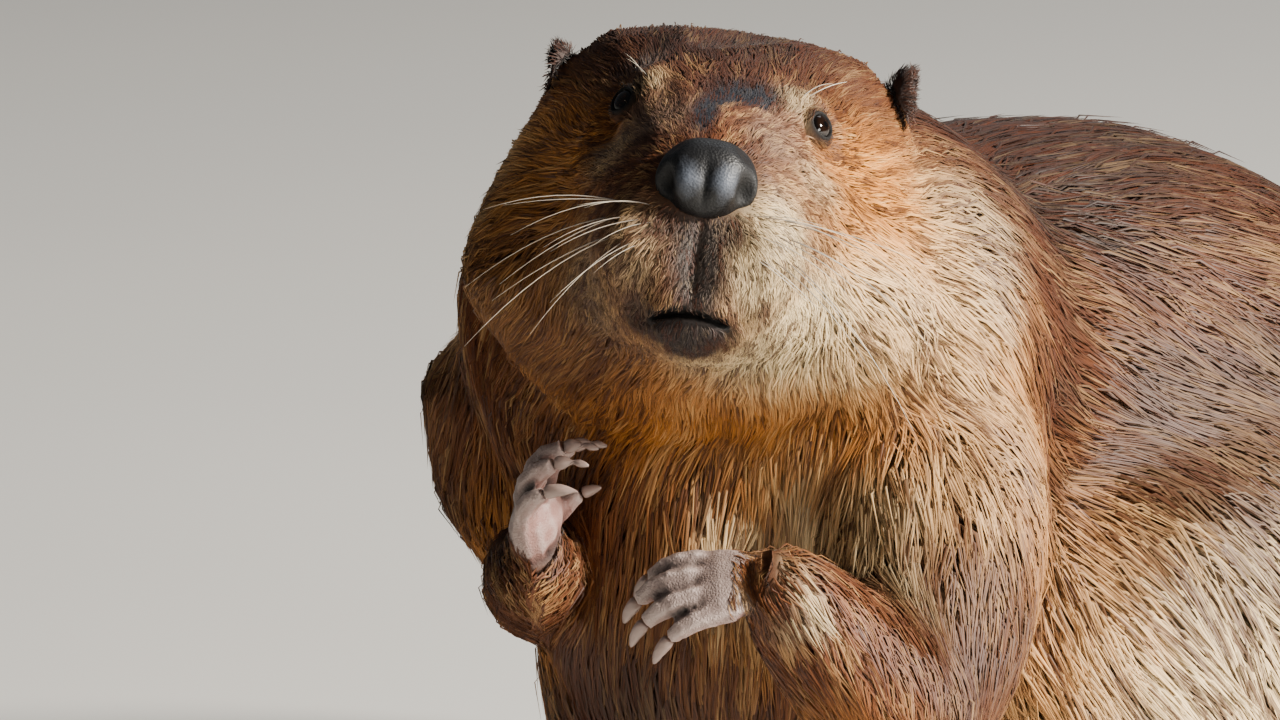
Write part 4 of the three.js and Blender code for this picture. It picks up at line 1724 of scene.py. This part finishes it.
@dataclass
class Coat:
    """The hair of the body: thin tufts that lie along the skin and overlap."""

    skin: Skin
    seed: int = 7
    root_mm: float = 1.2
    lock_mm: float = 11.0
    lock_step_mm: float = 2.2
    lock_pull: float = 0.46
    guide_share: float = 0.34
    quick_spacing: float = 1.9
    pitch_step: float = 0.14
    bend: float = 0.42
    turn: float = 0.11
    roll: float = 0.55
    stray_share: float = 0.02
    varied: tuple[float, float] = (0.7, 1.25)
    high: tuple[float, float] = (0.7, 1.1)
    own_luck: float = 0.24
    streak_luck: float = 0.64
    lock_luck: float = 0.2
    least_luck: float = -0.04
    dark_regions: tuple[str, ...] = ("back_left", "back_right", "crown", "tail_base")
    finish: CoatFinish = CoatFinish()

    def build(self) -> list[Object]:
        """Grows the coat and makes its pieces.

        Returns:
            The pieces.
        """
        self.rng = np.random.default_rng(self.seed)
        tufts = self._grow()
        LOG.info("coat: %d tufts", len(tufts.face))
        made = []
        for name, slot, faces in self._regions():
            inside = np.isin(tufts.face, faces)
            if inside.any():
                made.append(self._piece(name, tufts.chosen(inside), faces))
        return made

    def _seeds(self) -> tuple[Array, Array]:
        """Scatters roots evenly over the skin, closer where the hair is finer.

        Returns:
            For each root its face, and its share of the face's three corners.
        """
        skin = self.skin
        corner = skin.surface.points[skin.surface.faces]
        crossed = np.cross(corner[:, 1] - corner[:, 0], corner[:, 2] - corner[:, 0])
        area = np.linalg.norm(crossed, axis=1) / 2.0
        spacing = skin.growth[:, 3][skin.surface.faces].mean(axis=1) * MM
        spacing = spacing * 1.0
        steps = np.round(np.log(spacing / MM) / self.pitch_step).astype(int)
        chosen_faces, chosen_weights = [], []
        for step in np.unique(steps):
            faces = np.nonzero(steps == step)[0]
            pitch = MM * math.exp(self.pitch_step * step)
            count = int(5.0 * area[faces].sum() / pitch**2) + 1
            pick = self.rng.choice(faces, count, p=area[faces] / area[faces].sum())
            u, v = self.rng.random(count), self.rng.random(count)
            over = u + v > 1.0
            u[over], v[over] = 1.0 - u[over], 1.0 - v[over]
            weights = np.stack([1.0 - u - v, u, v], axis=1)
            spot = np.einsum("ij,ijk->ik", weights, corner[pick])
            keys = cell_keys(np.floor(spot / pitch).astype(np.int64))
            _, first = np.unique(keys, return_index=True)
            chosen_faces.append(pick[first])
            chosen_weights.append(weights[first])
        return np.concatenate(chosen_faces), np.vstack(chosen_weights)

    def _at(self, rows: Array, face: Array, weights: Array) -> Array:
        """Reads the vertices' rows at places on faces, given by the shares of their corners."""
        return np.einsum("ij,ijk->ik", weights, rows[self.skin.surface.faces[face]])

    def _follow(self, spots: Array) -> tuple[Array, Array, Array]:
        """Drops points onto the skin.

        Args:
            spots: Points near the skin.

        Returns:
            The points on the skin, the normals there and the faces.
        """
        find = self.tree.find_nearest
        found = [find(spot) for spot in spots.tolist()]
        place = np.array([hit[0][:] for hit in found])
        face = np.array([hit[2] for hit in found])
        normal = unit(self.skin.normals[self.skin.surface.faces[face]].mean(axis=1))
        return place, normal, face

    def _grow(self) -> Tufts:
        """Roots every tuft and leads it over the skin along the lie of the coat.

        Returns:
            The tufts.
        """
        skin, rng = self.skin, self.rng
        self.tree = skin.surface.tree()
        face, weights = self._seeds()
        bare = self._at(skin.hairless[:, None], face, weights)[:, 0]
        grows = rng.random(len(face)) > bare * 1.15
        face, weights = face[grows], weights[grows]
        depth, length, width, _ = self._at(skin.growth, face, weights).T
        slate = self._at(skin.cool, face, weights)[:, 2]
        length = length * (1.0 - 0.6 * slate)
        start = self._at(skin.surface.points, face, weights)
        normal = unit(self._at(skin.normals, face, weights))
        way = across_plane(self._at(skin.flow, face, weights), normal)
        turn = rng.normal(0.0, self.turn, len(face))
        way = way * np.cos(turn)[:, None] + np.cross(normal, way) * np.sin(turn)[:, None]
        size = (length * MM * rng.uniform(*self.varied, len(face)))[:, None]
        middle, middle_normal, middle_face = self._follow(start + way * size * self.bend)
        onward = unit(skin.flow[skin.surface.faces[middle_face]].mean(axis=1)) * 0.7 + way * 0.3
        onward = across_plane(onward, middle_normal)
        tip, tip_normal, tip_face = self._follow(middle + onward * size * (1.0 - self.bend))
        straight = np.sum(unit(middle - start) * unit(tip - middle), axis=1)
        tip = middle + (tip - middle) * np.clip(0.2 + straight, 0.3, 1.0)[:, None]
        ends = skin.surface.faces[tip_face]
        over = (skin.hairless[ends].mean(axis=1) > 0.4) & (bare[grows] < 0.3)
        over |= (skin.cool[ends, 2].mean(axis=1) > 0.5) & (slate < 0.4)
        lift = depth * MM * rng.uniform(*self.high, len(face))
        stray = rng.random(len(face)) < self.stray_share
        lift = np.where(stray, lift * 1.2 + 0.0008, lift)
        middle = middle + middle_normal * (lift * 0.8)[:, None]
        tip = tip + tip_normal * lift[:, None]
        tip, shared = self._gather(start, tip, length)
        start = start - normal * (self.root_mm * MM * np.minimum(1.0, depth / 2.0))[:, None]
        side = unit(np.cross(way, normal))
        roll = rng.uniform(-self.roll, self.roll, len(face))
        across = side * np.cos(roll)[:, None] + normal * np.sin(roll)[:, None]
        rise = unit(np.cross(across, way))
        span = width * MM * rng.uniform(*self.varied, len(face))
        streak = self._streaks(start, way * size)
        luck = self.own_luck * rng.random(len(face)) + self.streak_luck * streak
        luck = np.clip(luck + self.lock_luck * shared + self.least_luck, 0.0, 1.0)
        tufts = Tufts(face, weights, start, middle, tip, across, rise, span, luck)
        return tufts.chosen(~over)

    def _streaks(self, start: Array, run: Array) -> Array:
        """Gives tufts that lie along one line of the coat nearly the same chance.

        Args:
            start: The roots.
            run: From each root to its tip.

        Returns:
            A chance from 0 to 1 for each tuft.
        """
        guides = np.nonzero(self.rng.random(len(start)) < self.guide_share)[0]
        tree = KDTree(len(guides))
        for index, spot in enumerate(start[guides].tolist()):
            tree.insert(spot, index)
        tree.balance()
        onward = np.array([tree.find(spot)[1] for spot in (start + run * 0.5)[guides].tolist()])
        chance = self.rng.random(len(guides))
        total, place = chance.copy(), np.arange(len(guides))
        for _ in range(4):
            place = onward[place]
            total += chance[place]
        ranks = np.argsort(np.argsort(total)) / len(total)
        return ranks[np.array([tree.find(spot)[1] for spot in (start + run * 0.6).tolist()])]

    def _gather(self, start: Array, tip: Array, length: Array) -> tuple[Array, Array]:
        """Draws the tips of neighbours together into locks.

        Args:
            start: The roots.
            tip: The tips.
            length: The length of the hair, in millimetres.

        Returns:
            The moved tips, and a chance from 0 to 1 that each lock shares.
        """
        body = start / MM
        drift = np.stack([ripple(body, 13.0, 31 + k) for k in range(3)], axis=1)
        step = np.round(np.clip(length / 30.0, 0.34, 1.0) * self.lock_mm / self.lock_step_mm)
        cell = np.floor((body + 4.0 * drift) / (step * self.lock_step_mm)[:, None]).astype(np.int64)
        keys = cell_keys(cell) ^ (step.astype(np.int64) * 2654435761)
        _, lock = np.unique(keys, return_inverse=True)
        lock = lock.ravel()
        count = np.bincount(lock)
        mean = np.stack([np.bincount(lock, tip[:, k]) / count for k in range(3)], axis=1)
        pull = self.lock_pull * (1.0 + 0.4 * ripple(body, 60.0, 41))
        far = np.linalg.norm(mean[lock] - tip, axis=1) > length * MM
        pull = np.where(far, 0.0, pull)
        return tip + (mean[lock] - tip) * pull[:, None], self.rng.random(len(count))[lock]

    def _regions(self) -> list[tuple[str, Slot, Array]]:
        """Divides the skin so that no piece of the coat is too large.

        Returns:
            For each piece its name, its slot and the faces of skin that it grows on.
        """
        skin = self.skin
        middle = skin.surface.points[skin.surface.faces].mean(axis=1)
        part = skin.part[skin.surface.faces[:, 0]]
        names = np.array(skin.part_names)[part]
        own = skin.head.inside(middle)
        body = skin.head.body(middle)
        label = np.full(len(part), "belly", dtype=object)
        normal = unit(skin.normals[skin.surface.faces].mean(axis=1))
        trunk = names == "trunk"
        side = np.where(body[:, 0] > 0.0, "left", "right").astype(object)
        cheek = np.where(own[:, 0] > 0.0, "left", "right").astype(object)
        dorsal = trunk & (normal @ unit(np.array([0.0, 0.65, 0.75])) > 0.0)
        flank = trunk & ~dorsal & (np.abs(body[:, 0]) > 60.0)
        headed = np.isin(names, ["head", "lower_jaw", "nose"])
        sided = ((dorsal, "back_", side), (flank, "side_", side), (names == "neck", "neck_", side))
        for here, word, ending in (*sided, (headed, "cheek_", cheek)):
            label[here] = (word + ending)[here]
        label[names == "tail_base"] = "tail_base"
        limbs = {"arm": "arm", "thigh": "leg", "shank": "leg", "foot": "foot", "paw": "paw"}
        for kind, word in limbs.items():
            for which in Side:
                here = np.array([kind in n and n.endswith(which.label) for n in skin.part_names])[part]
                label[here] = f"{word}_{which.label}"
        label[headed & (own[:, 2] > 14.0)] = "crown"
        label[headed & (own[:, 1] < -104.0)] = "face"
        found = []
        for word in sorted(set(label)):
            slot = Slot.BACK if word in self.dark_regions else Slot.FLANK
            found.append((f"coat_{word}", slot, np.nonzero(label == word)[0]))
        return found

    def _piece(self, name: str, tufts: Tufts, faces: Array) -> Object:
        """Makes the mesh of one region's tufts.

        Args:
            name: The piece's name.
            tufts: The tufts.
            faces: The faces of skin under them.

        Returns:
            The object.
        """
        mesh = tufts.mesh(name, self.skin.surface, faces)
        for key, rows in (("warm_marks", self.skin.warm), ("cool_marks", self.skin.cool)):
            own = self._at(rows, tufts.face, tufts.weights)
            carry(mesh, key, np.repeat(own, len(ALONG), axis=0))
        return placed(name, mesh, self.finish)


# ---- nose, eyes, ears


@dataclass
class Nose:
    """The leathery pad of the nose with its two lobes, groove and side nostrils."""

    head: HeadFrame
    pad: Pad = field(default_factory=Pad)
    lobe: Dab = Dab((6.8, -159, -3.4), (6, 7, 7.6), (0, -1.4, 0))
    groove: Dab = Dab((0, -160, -6), (2, 7, 9), (0, 1.2, 0), ALONE)
    nostril: Dab = Dab((15, -154, -5.4), (4.2, 6, 6.8), (-3.2, 3.8, 0.6))
    dabs: tuple[Dab, ...] = (
        Dab((17.4, -149.5, -4), (2.6, 4, 7.5), (1, -0.9, 0)),
        Dab((13.5, -151, 9), (6, 6, 6), (-1, 0.8, -0.8)),
        Dab((12, -151, -11.5), (6, 6, 4), (-1.2, 0.6, 1)),
        Dab((0, -153, -13.5), (6, 7, 4), (0, 0.4, -1.2), ALONE),
    )

    def build(self) -> Object:
        """Makes the nose.

        Returns:
            The object.
        """
        own, faces = ball(self.pad.middle, self.pad.half, 150)
        middle = np.array(self.pad.middle)
        own = middle + (own - middle) / self.pad.reach(own)[:, None]
        own[:, 0] *= 1.03 - 0.08 * ramp(-6.0, 12.0, own[:, 2])
        # The dabs' weights are carried for painted shade in the nostrils and the groove and a painted sheen
        # on the lobes.
        marks = []
        for dab in (self.nostril, self.lobe, self.groove):
            marks.append(np.abs(dab.apply(own)).sum(axis=1) / np.abs(dab.push).sum())
            own = own + dab.apply(own)
        for dab in self.dabs:
            own = own + dab.apply(own)
        mesh = mesh_of("nose_pad", self.head.outside(own), faces)
        carry(mesh, "leather", np.stack(marks, axis=1))
        made = placed("nose_pad", mesh, NoseFinish())
        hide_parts("nose")
        return made


@dataclass
class Eye:
    """One eye: a ball with a slightly domed front."""

    head: HeadFrame
    lid: Lid
    side: Side
    iris_mm: float = 3.6

    def build(self) -> Object:
        """Makes the eye where its solid is.

        Returns:
            The object.
        """
        points, faces = ball((0.0, 0.0, 0.0), (1.0, 1.0, 1.0), 56)
        radius = self.lid.radius
        out = points[:, 2]
        swell = 1.0 + 0.045 * ramp(0.72, 1.0, out)
        axes = self.lid.axes(self.side)
        node = f"eye_{self.side.label}"
        centre = self.head.inside(middle_of(node)[None])[0]
        own = (points * (radius * swell)[:, None]) @ axes + centre
        mesh = mesh_of(node + "_ball", self.head.outside(own), faces)
        off_axis = np.hypot(points[:, 0], points[:, 1]) * radius
        ring = ramp(self.iris_mm + 0.3, self.iris_mm - 0.2, off_axis) * ramp(1.2, 1.7, off_axis) * (out > 0.0)
        carry(mesh, "iris", np.stack([ring, ring, ring], axis=1))
        made = placed(node + "_ball", mesh, EyeFinish())
        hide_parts(node)
        return made


@dataclass
class Ear:
    """One small round ear: a thin cup with short dark hair on its back and rim."""

    head: HeadFrame
    side: Side
    voxel_mm: float = 0.7
    thin_mm: float = 0.9
    spacing_mm: float = 0.85
    hair_mm: float = 4.4
    hair_wide_mm: float = 0.5
    marks: Place = (0.85, 0.1, 0.35)

    def build(self) -> list[Object]:
        """Makes the ear and its hair.

        Returns:
            The two objects.
        """
        node = f"ear_{self.side.label}"
        surface = taken(remeshed(*solids([node])[:2], self.voxel_mm))
        surface.relax(6, swell=1.0)
        normals = surface.normals()
        surface.points = surface.points - unit(surface.spread(normals, 3)) * self.thin_mm * MM
        folds = ripple(surface.points / MM, 9.0, 3)
        surface.points = surface.points + normals * (0.25 * MM * folds)[:, None]
        surface.relax(2, swell=1.0)
        cup = placed(node + "_cup", surface.mesh(node + "_cup"), EarFinish())
        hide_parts(node)
        return [cup, self._hair(surface, node)]

    def _hair(self, surface: Surface, node: str) -> Object:
        """Covers the ear with short hair that points to its rim.

        Args:
            surface: The ear's skin.
            node: The ear's name.

        Returns:
            The object.
        """
        rng = np.random.default_rng(3 if self.side is Side.LEFT else 4)
        centre = surface.points[surface.faces].mean(axis=1)
        keys = cell_keys(np.floor(centre / (self.spacing_mm * MM)).astype(np.int64))
        _, pick = np.unique(keys, return_index=True)
        root, normal = centre[pick], unit(surface.normals()[surface.faces[pick]].mean(axis=1))
        out = self.head.axes @ np.array([0.5 * self.side.value, 0.1, 0.3])
        fan = unit(root - root.mean(axis=0)) + out + rng.normal(0.0, 0.16, root.shape)
        way = unit(across_plane(fan, normal) + 0.35 * normal)
        length = self.hair_mm * MM * rng.uniform(0.6, 1.2, len(root))[:, None]
        middle = root + way * length * 0.45 + normal * 0.55 * MM
        tip = root + way * length + normal * 0.5 * MM
        side = unit(np.cross(way, normal))
        thirds = np.full((len(pick), 3), 1.0 / 3.0)
        width = np.full(len(pick), self.hair_wide_mm * MM)
        luck = 0.2 + 0.4 * rng.random(len(pick))
        tufts = Tufts(pick, thirds, root, middle, tip, side, normal, width, luck)
        mesh = tufts.mesh(node + "_hair", surface, np.arange(len(surface.faces)))
        count = len(mesh.vertices)
        carry(mesh, "warm_marks", np.zeros((count, 3)))
        carry(mesh, "cool_marks", np.tile(self.marks, (count, 1)))
        return placed(node + "_hair", mesh, CoatFinish())


# ---- claws, whiskers and tail


@dataclass
class ClawSet:
    """The five claws of one hand or foot, rounded from their solids."""

    limb: str
    thicker: float = 1.34
    shorter: float = 0.26
    luck_step: float = 0.37
    lowest_mm: float = 0.3

    def build(self) -> Object:
        """Makes the claws.

        Returns:
            The object.
        """
        names = [f"{self.limb}_claw_{k}" for k in range(1, 6)]
        palm, shapes = middle_of(self.limb), []
        for index, name in enumerate(names):
            blunt = mesh_of("claw", *welded(bpy.data.objects[name].data))
            smooth = modified(blunt, "SUBSURF", {"levels": 2, "render_levels": 2})
            own, faces = points_of(smooth), triangles_of(smooth)
            bpy.data.meshes.remove(smooth)
            centre = own.mean(axis=0)
            axis = np.linalg.svd(own - centre, full_matrices=False)[2][0]
            lengthwise = ((own - centre) @ axis)[:, None] * axis
            own = centre + (own - centre) * self.thicker - lengthwise * self.shorter
            own[:, 2] = np.maximum(own[:, 2], self.lowest_mm * MM)
            away = np.linalg.norm(own - palm, axis=1)
            along = (away - away.min()) / np.ptp(away)
            luck = np.full(len(own), (index * self.luck_step) % 1.0)
            shapes.append((own, faces, np.stack([along, luck, along], axis=1)))
        points, faces, rows = stacked(shapes)
        mesh = mesh_of(f"{self.limb}_claws", points, faces)
        carry(mesh, "claw", rows)
        made = placed(f"{self.limb}_claws", mesh, ClawFinish())
        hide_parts(*names)
        return made


@dataclass
class Whiskers:
    """Rows of tapering bristles on the pads beside the nose, and a few over the eyes."""

    skin: Skin
    rows: int = 3
    in_row: int = 5
    rings: int = 9
    sides: int = 5
    seed: int = 12

    def build(self) -> Object:
        """Makes the whiskers.

        Returns:
            The object.
        """
        rng = np.random.default_rng(self.seed)
        tree = self.skin.surface.tree()
        curves = []
        for side in Side:
            for row in range(self.rows):
                for k in range(self.in_row):
                    across = 17.0 + 3.4 * k + rng.normal(0.0, 0.6)
                    spot = np.array([across, -152.0 + 2.6 * k, -12.0 - 7.0 * row])
                    reach = rng.uniform(0.75, 1.15) * (24.0 + 8.0 * k)
                    way = np.array([0.9, -0.3 + 0.1 * k, 0.06 - 0.26 * row]) + rng.normal(0.0, 0.1, 3)
                    curves.append(self._curve(tree, side, spot, way, reach, rng))
            for k in range(2):
                spot = np.array([28.0 + 3.0 * k, -99.0 + 4.0 * k, 41.0])
                way = np.array([0.6, 0.3, 0.7]) + rng.normal(0.0, 0.1, 3)
                curves.append(self._curve(tree, side, spot, way, rng.uniform(15.0, 22.0), rng))
        shapes = []
        for path in curves:
            tube, strip, along = self._tube(path)
            luck = np.full(len(along), rng.random())
            shapes.append((tube, strip, np.stack([along, luck, along], axis=1)))
        points, faces, rows = stacked(shapes)
        mesh = mesh_of("whiskers", points, faces)
        carry(mesh, "bristle", rows)
        return placed("whiskers", mesh, WhiskerFinish())

    def _curve(
        self, tree: BVHTree, side: Side, spot: Array, way: Array, reach: float, rng: np.random.Generator
    ) -> Array:
        """The path of one whisker, out of the skin and drooping towards its tip.

        Args:
            tree: The skin's search tree.
            side: The side of the head.
            spot: Its root near the skin, in the head's millimetres on the left.
            way: The way it starts.
            reach: Its length in millimetres.
            rng: Where its chances come from.

        Returns:
            Points in metres.
        """
        flip = np.array([side.value, 1.0, 1.0])
        head = self.skin.head
        place = tree.find_nearest(head.outside((spot * flip)[None])[0].tolist())[0]
        start = head.inside(np.array(place[:])[None])[0]
        way = unit(way * flip)
        droop = np.array([0.0, rng.uniform(0.25, 0.55), rng.uniform(-0.62, -0.2)])
        t = np.linspace(-0.04, 1.0, self.rings)[:, None]
        path = start + (way * t + droop * t * t * 0.6) * reach
        return head.outside(path)

    def _tube(self, path: Array) -> tuple[Array, Array, Array]:
        """A closed tapering tube along a path.

        Args:
            path: Points in metres.

        Returns:
            Points, triangles, and how far along each point is.
        """
        count = len(path)
        along = np.linspace(0.0, 1.0, count)
        way = unit(np.gradient(path, axis=0))
        side = unit(np.cross(way, np.array([0.1, 0.2, 1.0])))
        rise = np.cross(way, side)
        radius = (0.2 * (1.0 - along) + 0.05) * MM
        turn = np.linspace(0.0, 2.0 * math.pi, self.sides, endpoint=False)
        ring = side[:, None] * np.cos(turn)[None, :, None] + rise[:, None] * np.sin(turn)[None, :, None]
        points = (path[:, None] + ring * radius[:, None, None]).reshape(-1, 3)
        last = (count - 1) * self.sides
        caps = []
        for k in range(1, self.sides - 1):
            caps += [(0, k + 1, k), (last, last + k, last + k + 1)]
        return points, np.vstack([wall(count, self.sides), caps]), np.repeat(along, self.sides)


@dataclass
class Tail:
    """The flat tail: a leather core under rows of raised six-sided scales."""

    voxel_mm: float = 2.2
    inset_mm: float = 0.9
    pitch_mm: tuple[float, float] = (4.6, 6.4)
    high_mm: float = 0.85
    sunk_mm: float = 0.3
    lowest_mm: float = 0.2
    shoulder: float = 0.72
    steepest: float = 0.35

    def build(self) -> list[Object]:
        """Makes the tail's core and its scales.

        Returns:
            The two objects.
        """
        surface = taken(remeshed(*solids(["tail"])[:2], self.voxel_mm))
        surface.relax(8, swell=0.98)
        normals = unit(surface.spread(surface.normals(), 2))
        sunk = self.inset_mm * MM
        surface.points = surface.points - normals * sunk
        surface.points[:, 2] = np.maximum(surface.points[:, 2], sunk + 0.1 * MM)
        leather = TailFinish("tail_leather", scales=False)
        core = placed("tail_core", surface.mesh("tail_core"), leather)
        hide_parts("tail")
        return [core, self._scales(surface)]

    def _lattice(self, low: Array, high: Array) -> Array:
        """Places for the scales, in rows that are set half a scale apart.

        Args:
            low: The tail's lowest corner.
            high: Its highest corner.

        Returns:
            Rows of x and y in metres.
        """
        across, along = (p * MM for p in self.pitch_mm)
        rows = np.arange(low[1] + along * 0.4, high[1], along * 0.75)
        spots = []
        for index, y in enumerate(rows):
            start = low[0] + across * (0.5 if index % 2 else 0.0)
            x = np.arange(start, high[0], across)
            spots.append(np.stack([x, np.full(len(x), y)], axis=1))
        return np.vstack(spots)

    def _scales(self, surface: Surface) -> Object:
        """Sets a scale on every place of the lattice, above and below.

        Args:
            surface: The core.

        Returns:
            The object.
        """
        rng = np.random.default_rng(9)
        tree = surface.tree()
        low, high = surface.points.min(axis=0), surface.points.max(axis=0)
        points, rows = [], []
        angle = np.arange(6) * math.pi / 3.0 + math.pi / 6.0
        ring = np.stack([np.cos(angle), np.sin(angle)], axis=1)
        crown = np.array([0.0] * 6 + [0.75] * 6 + [1.0, 0.0])
        for x, y in self._lattice(low, high):
            for top in (True, False):
                start = (x, y, high[2] + 0.02) if top else (x, y, low[2] - 0.02)
                way = (0.0, 0.0, -1.0) if top else (0.0, 0.0, 1.0)
                place, normal, _, _ = tree.ray_cast(start, way)
                if place is None or abs(normal[2]) < self.steepest:
                    continue
                points.append(self._scale(np.array(place), np.array(normal), ring, rng))
                luck = rng.random()
                rows.append(np.stack([crown, np.full(len(crown), luck), crown], axis=1))
        pattern = []
        for k in range(6):
            n = (k + 1) % 6
            pattern += [(k, n, 6 + k), (n, 6 + n, 6 + k), (6 + k, 6 + n, 12), (n, k, 13)]
        count = len(points)
        corners = np.arange(count)[:, None, None] * len(crown) + np.array(pattern)[None]
        mesh = mesh_of("tail_scales", np.vstack(points), corners.reshape(-1, 3))
        carry(mesh, "scale", np.vstack(rows))
        LOG.info("tail: %d scales", count)
        return placed("tail_scales", mesh, TailFinish())

    def _scale(self, place: Array, normal: Array, ring: Array, rng: np.random.Generator) -> Array:
        """The points of one scale.

        Args:
            place: Its middle on the core.
            normal: The core's normal there.
            ring: Six directions round it.
            rng: Where its chances come from.

        Returns:
            Six points at its foot, six at its shoulder, its crown and its base.
        """
        along = unit(np.array([0.0, 1.0, 0.0]) - normal[1] * normal)
        across = np.cross(along, normal)
        size = np.array(self.pitch_mm) * MM * rng.uniform(0.92, 1.02)
        flat = ring[:, :1] * across * size[0] * 0.56 + ring[:, 1:2] * along * size[1] * 0.5
        high = self.high_mm * MM * rng.uniform(0.8, 1.15)
        sunk = normal * self.sunk_mm * MM
        foot = place + flat - sunk
        shoulder = place + flat * self.shoulder + normal * high * 0.8 + along * size[1] * 0.05
        crown = place + normal * high + along * size[1] * 0.06
        points = np.vstack([foot, shoulder, [crown], [place - sunk]])
        points[:, 2] = np.maximum(points[:, 2], self.lowest_mm * MM)
        return points


# ---- the studio


@dataclass(frozen=True)
class ViewCamera:
    """The camera: its bearing, its lens, and where the nose stands in the view.

    The nose's place is from the middle of the view, as shares of the view's width.
    """

    azimuth: float = 42.0
    elevation: float = 12.0
    distance: float = 3.0
    lens: float = 241.0
    sensor: float = 36.0
    nose_right: float = 0.053125
    nose_above: float = 0.1421875

    def build(self) -> Object:
        """Makes the camera.

        Returns:
            The camera.
        """
        turn, rise = math.radians(self.azimuth), math.radians(self.elevation)
        right = Vector((math.cos(turn), math.sin(turn), 0.0))
        away = Vector((-math.sin(turn), math.cos(turn), 0.0))
        up = Vector((0.0, 0.0, 1.0))
        ahead = away * math.cos(rise) - up * math.sin(rise)
        above = up * math.cos(rise) + away * math.sin(rise)
        width = self.sensor / self.lens * self.distance
        offset = right * self.nose_right * width + above * self.nose_above * width
        place = Vector(middle_of("nose")) - ahead * self.distance - offset
        data = bpy.data.cameras.new("view")
        data.lens, data.sensor_width = self.lens, self.sensor
        data.clip_start, data.clip_end = 0.1, 30.0
        camera = new_object("view", data)
        camera.matrix_world = Matrix(
            (
                (right.x, above.x, -ahead.x, place.x),
                (right.y, above.y, -ahead.y, place.y),
                (right.z, above.z, -ahead.z, place.z),
                (0.0, 0.0, 0.0, 1.0),
            )
        )
        bpy.context.scene.camera = camera
        return camera


@dataclass(frozen=True)
class Lamp:
    """One soft lamp, by its bearing round the animal."""

    name: str
    bearing: float
    height: float
    distance: float
    size: float
    watts: float
    tint: Colour
    target: Place = (0.0, -0.1, 0.22)

    def build(self) -> None:
        """Makes the lamp, pointing at the middle of the animal."""
        turn, rise = math.radians(self.bearing), math.radians(self.height)
        out = Vector((math.sin(turn) * math.cos(rise), -math.cos(turn) * math.cos(rise), math.sin(rise)))
        target = Vector(self.target)
        data = bpy.data.lights.new(self.name, "AREA")
        data.shape, data.size, data.energy, data.color = "DISK", self.size, self.watts, self.tint
        lamp = new_object(self.name, data)
        lamp.location = target + out * self.distance
        lamp.rotation_euler = (-out).to_track_quat("-Z", "Y").to_euler()


@dataclass(frozen=True)
class Studio:
    """A plain pale floor, a sun from the animal's left, two weaker lamps and a weak sky."""

    lamps: tuple[Lamp, ...] = (
        Lamp("sun_lamp", 106.0, 31.0, 3.2, 0.5, 385.0, (1.0, 0.94, 0.85)),
        Lamp("front_lamp", 84.0, 9.0, 3.4, 0.9, 38.0, (1.0, 0.96, 0.9)),
        Lamp("rim_lamp", 200.0, 50.0, 3.2, 1.6, 14.0, (0.92, 0.96, 1.0)),
    )
    sky: Colour = (0.80, 0.86, 0.95)
    sky_strength: float = 0.1
    floor_half: float = 14.0

    def build(self) -> None:
        """Makes the floor, the lamps and the sky."""
        ends = ((-1.0, -1.0), (1.0, -1.0), (1.0, 1.0), (-1.0, 1.0))
        corners = np.array([(x * self.floor_half, y * self.floor_half, 0.0) for x, y in ends])
        mesh = mesh_of("floor", corners, np.array([(0, 1, 2, 3)]))
        mesh.materials.append(FloorFinish().material())
        new_object("floor", mesh)
        for lamp in self.lamps:
            lamp.build()
        world = bpy.data.worlds.new("sky")
        world.use_nodes = True
        background = world.node_tree.nodes["Background"]
        background.inputs["Color"].default_value = (*self.sky, 1.0)
        background.inputs["Strength"].default_value = self.sky_strength
        bpy.context.scene.world = world


# ---- whole


def report(pieces: Iterable[Object]) -> None:
    """Logs each piece with the number of its faces."""
    for piece in pieces:
        LOG.info("%s: %d faces", piece.name, len(piece.data.polygons))


def main() -> None:
    """Loads the solids and builds every piece over them."""
    logging.basicConfig(level=logging.INFO, format="%(relativeCreated)7.0f ms %(message)s", force=True)
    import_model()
    ViewCamera().build()
    Studio().build()
    head = HeadFrame()
    skin = Skin(head)
    skin.build()
    report([skin.piece()])
    report(Coat(skin).build())
    report([Nose(head).build()])
    for side in Side:
        report([Eye(head, skin.lid, side).build(), *Ear(head, side).build()])
        report(ClawSet(f"{limb}_{side.label}").build() for limb in ("forepaw", "hind_foot"))
    report([Whiskers(skin).build()])
    report(Tail().build())
    LOG.info("all pieces made")


if __name__ == "__main__":
    main()
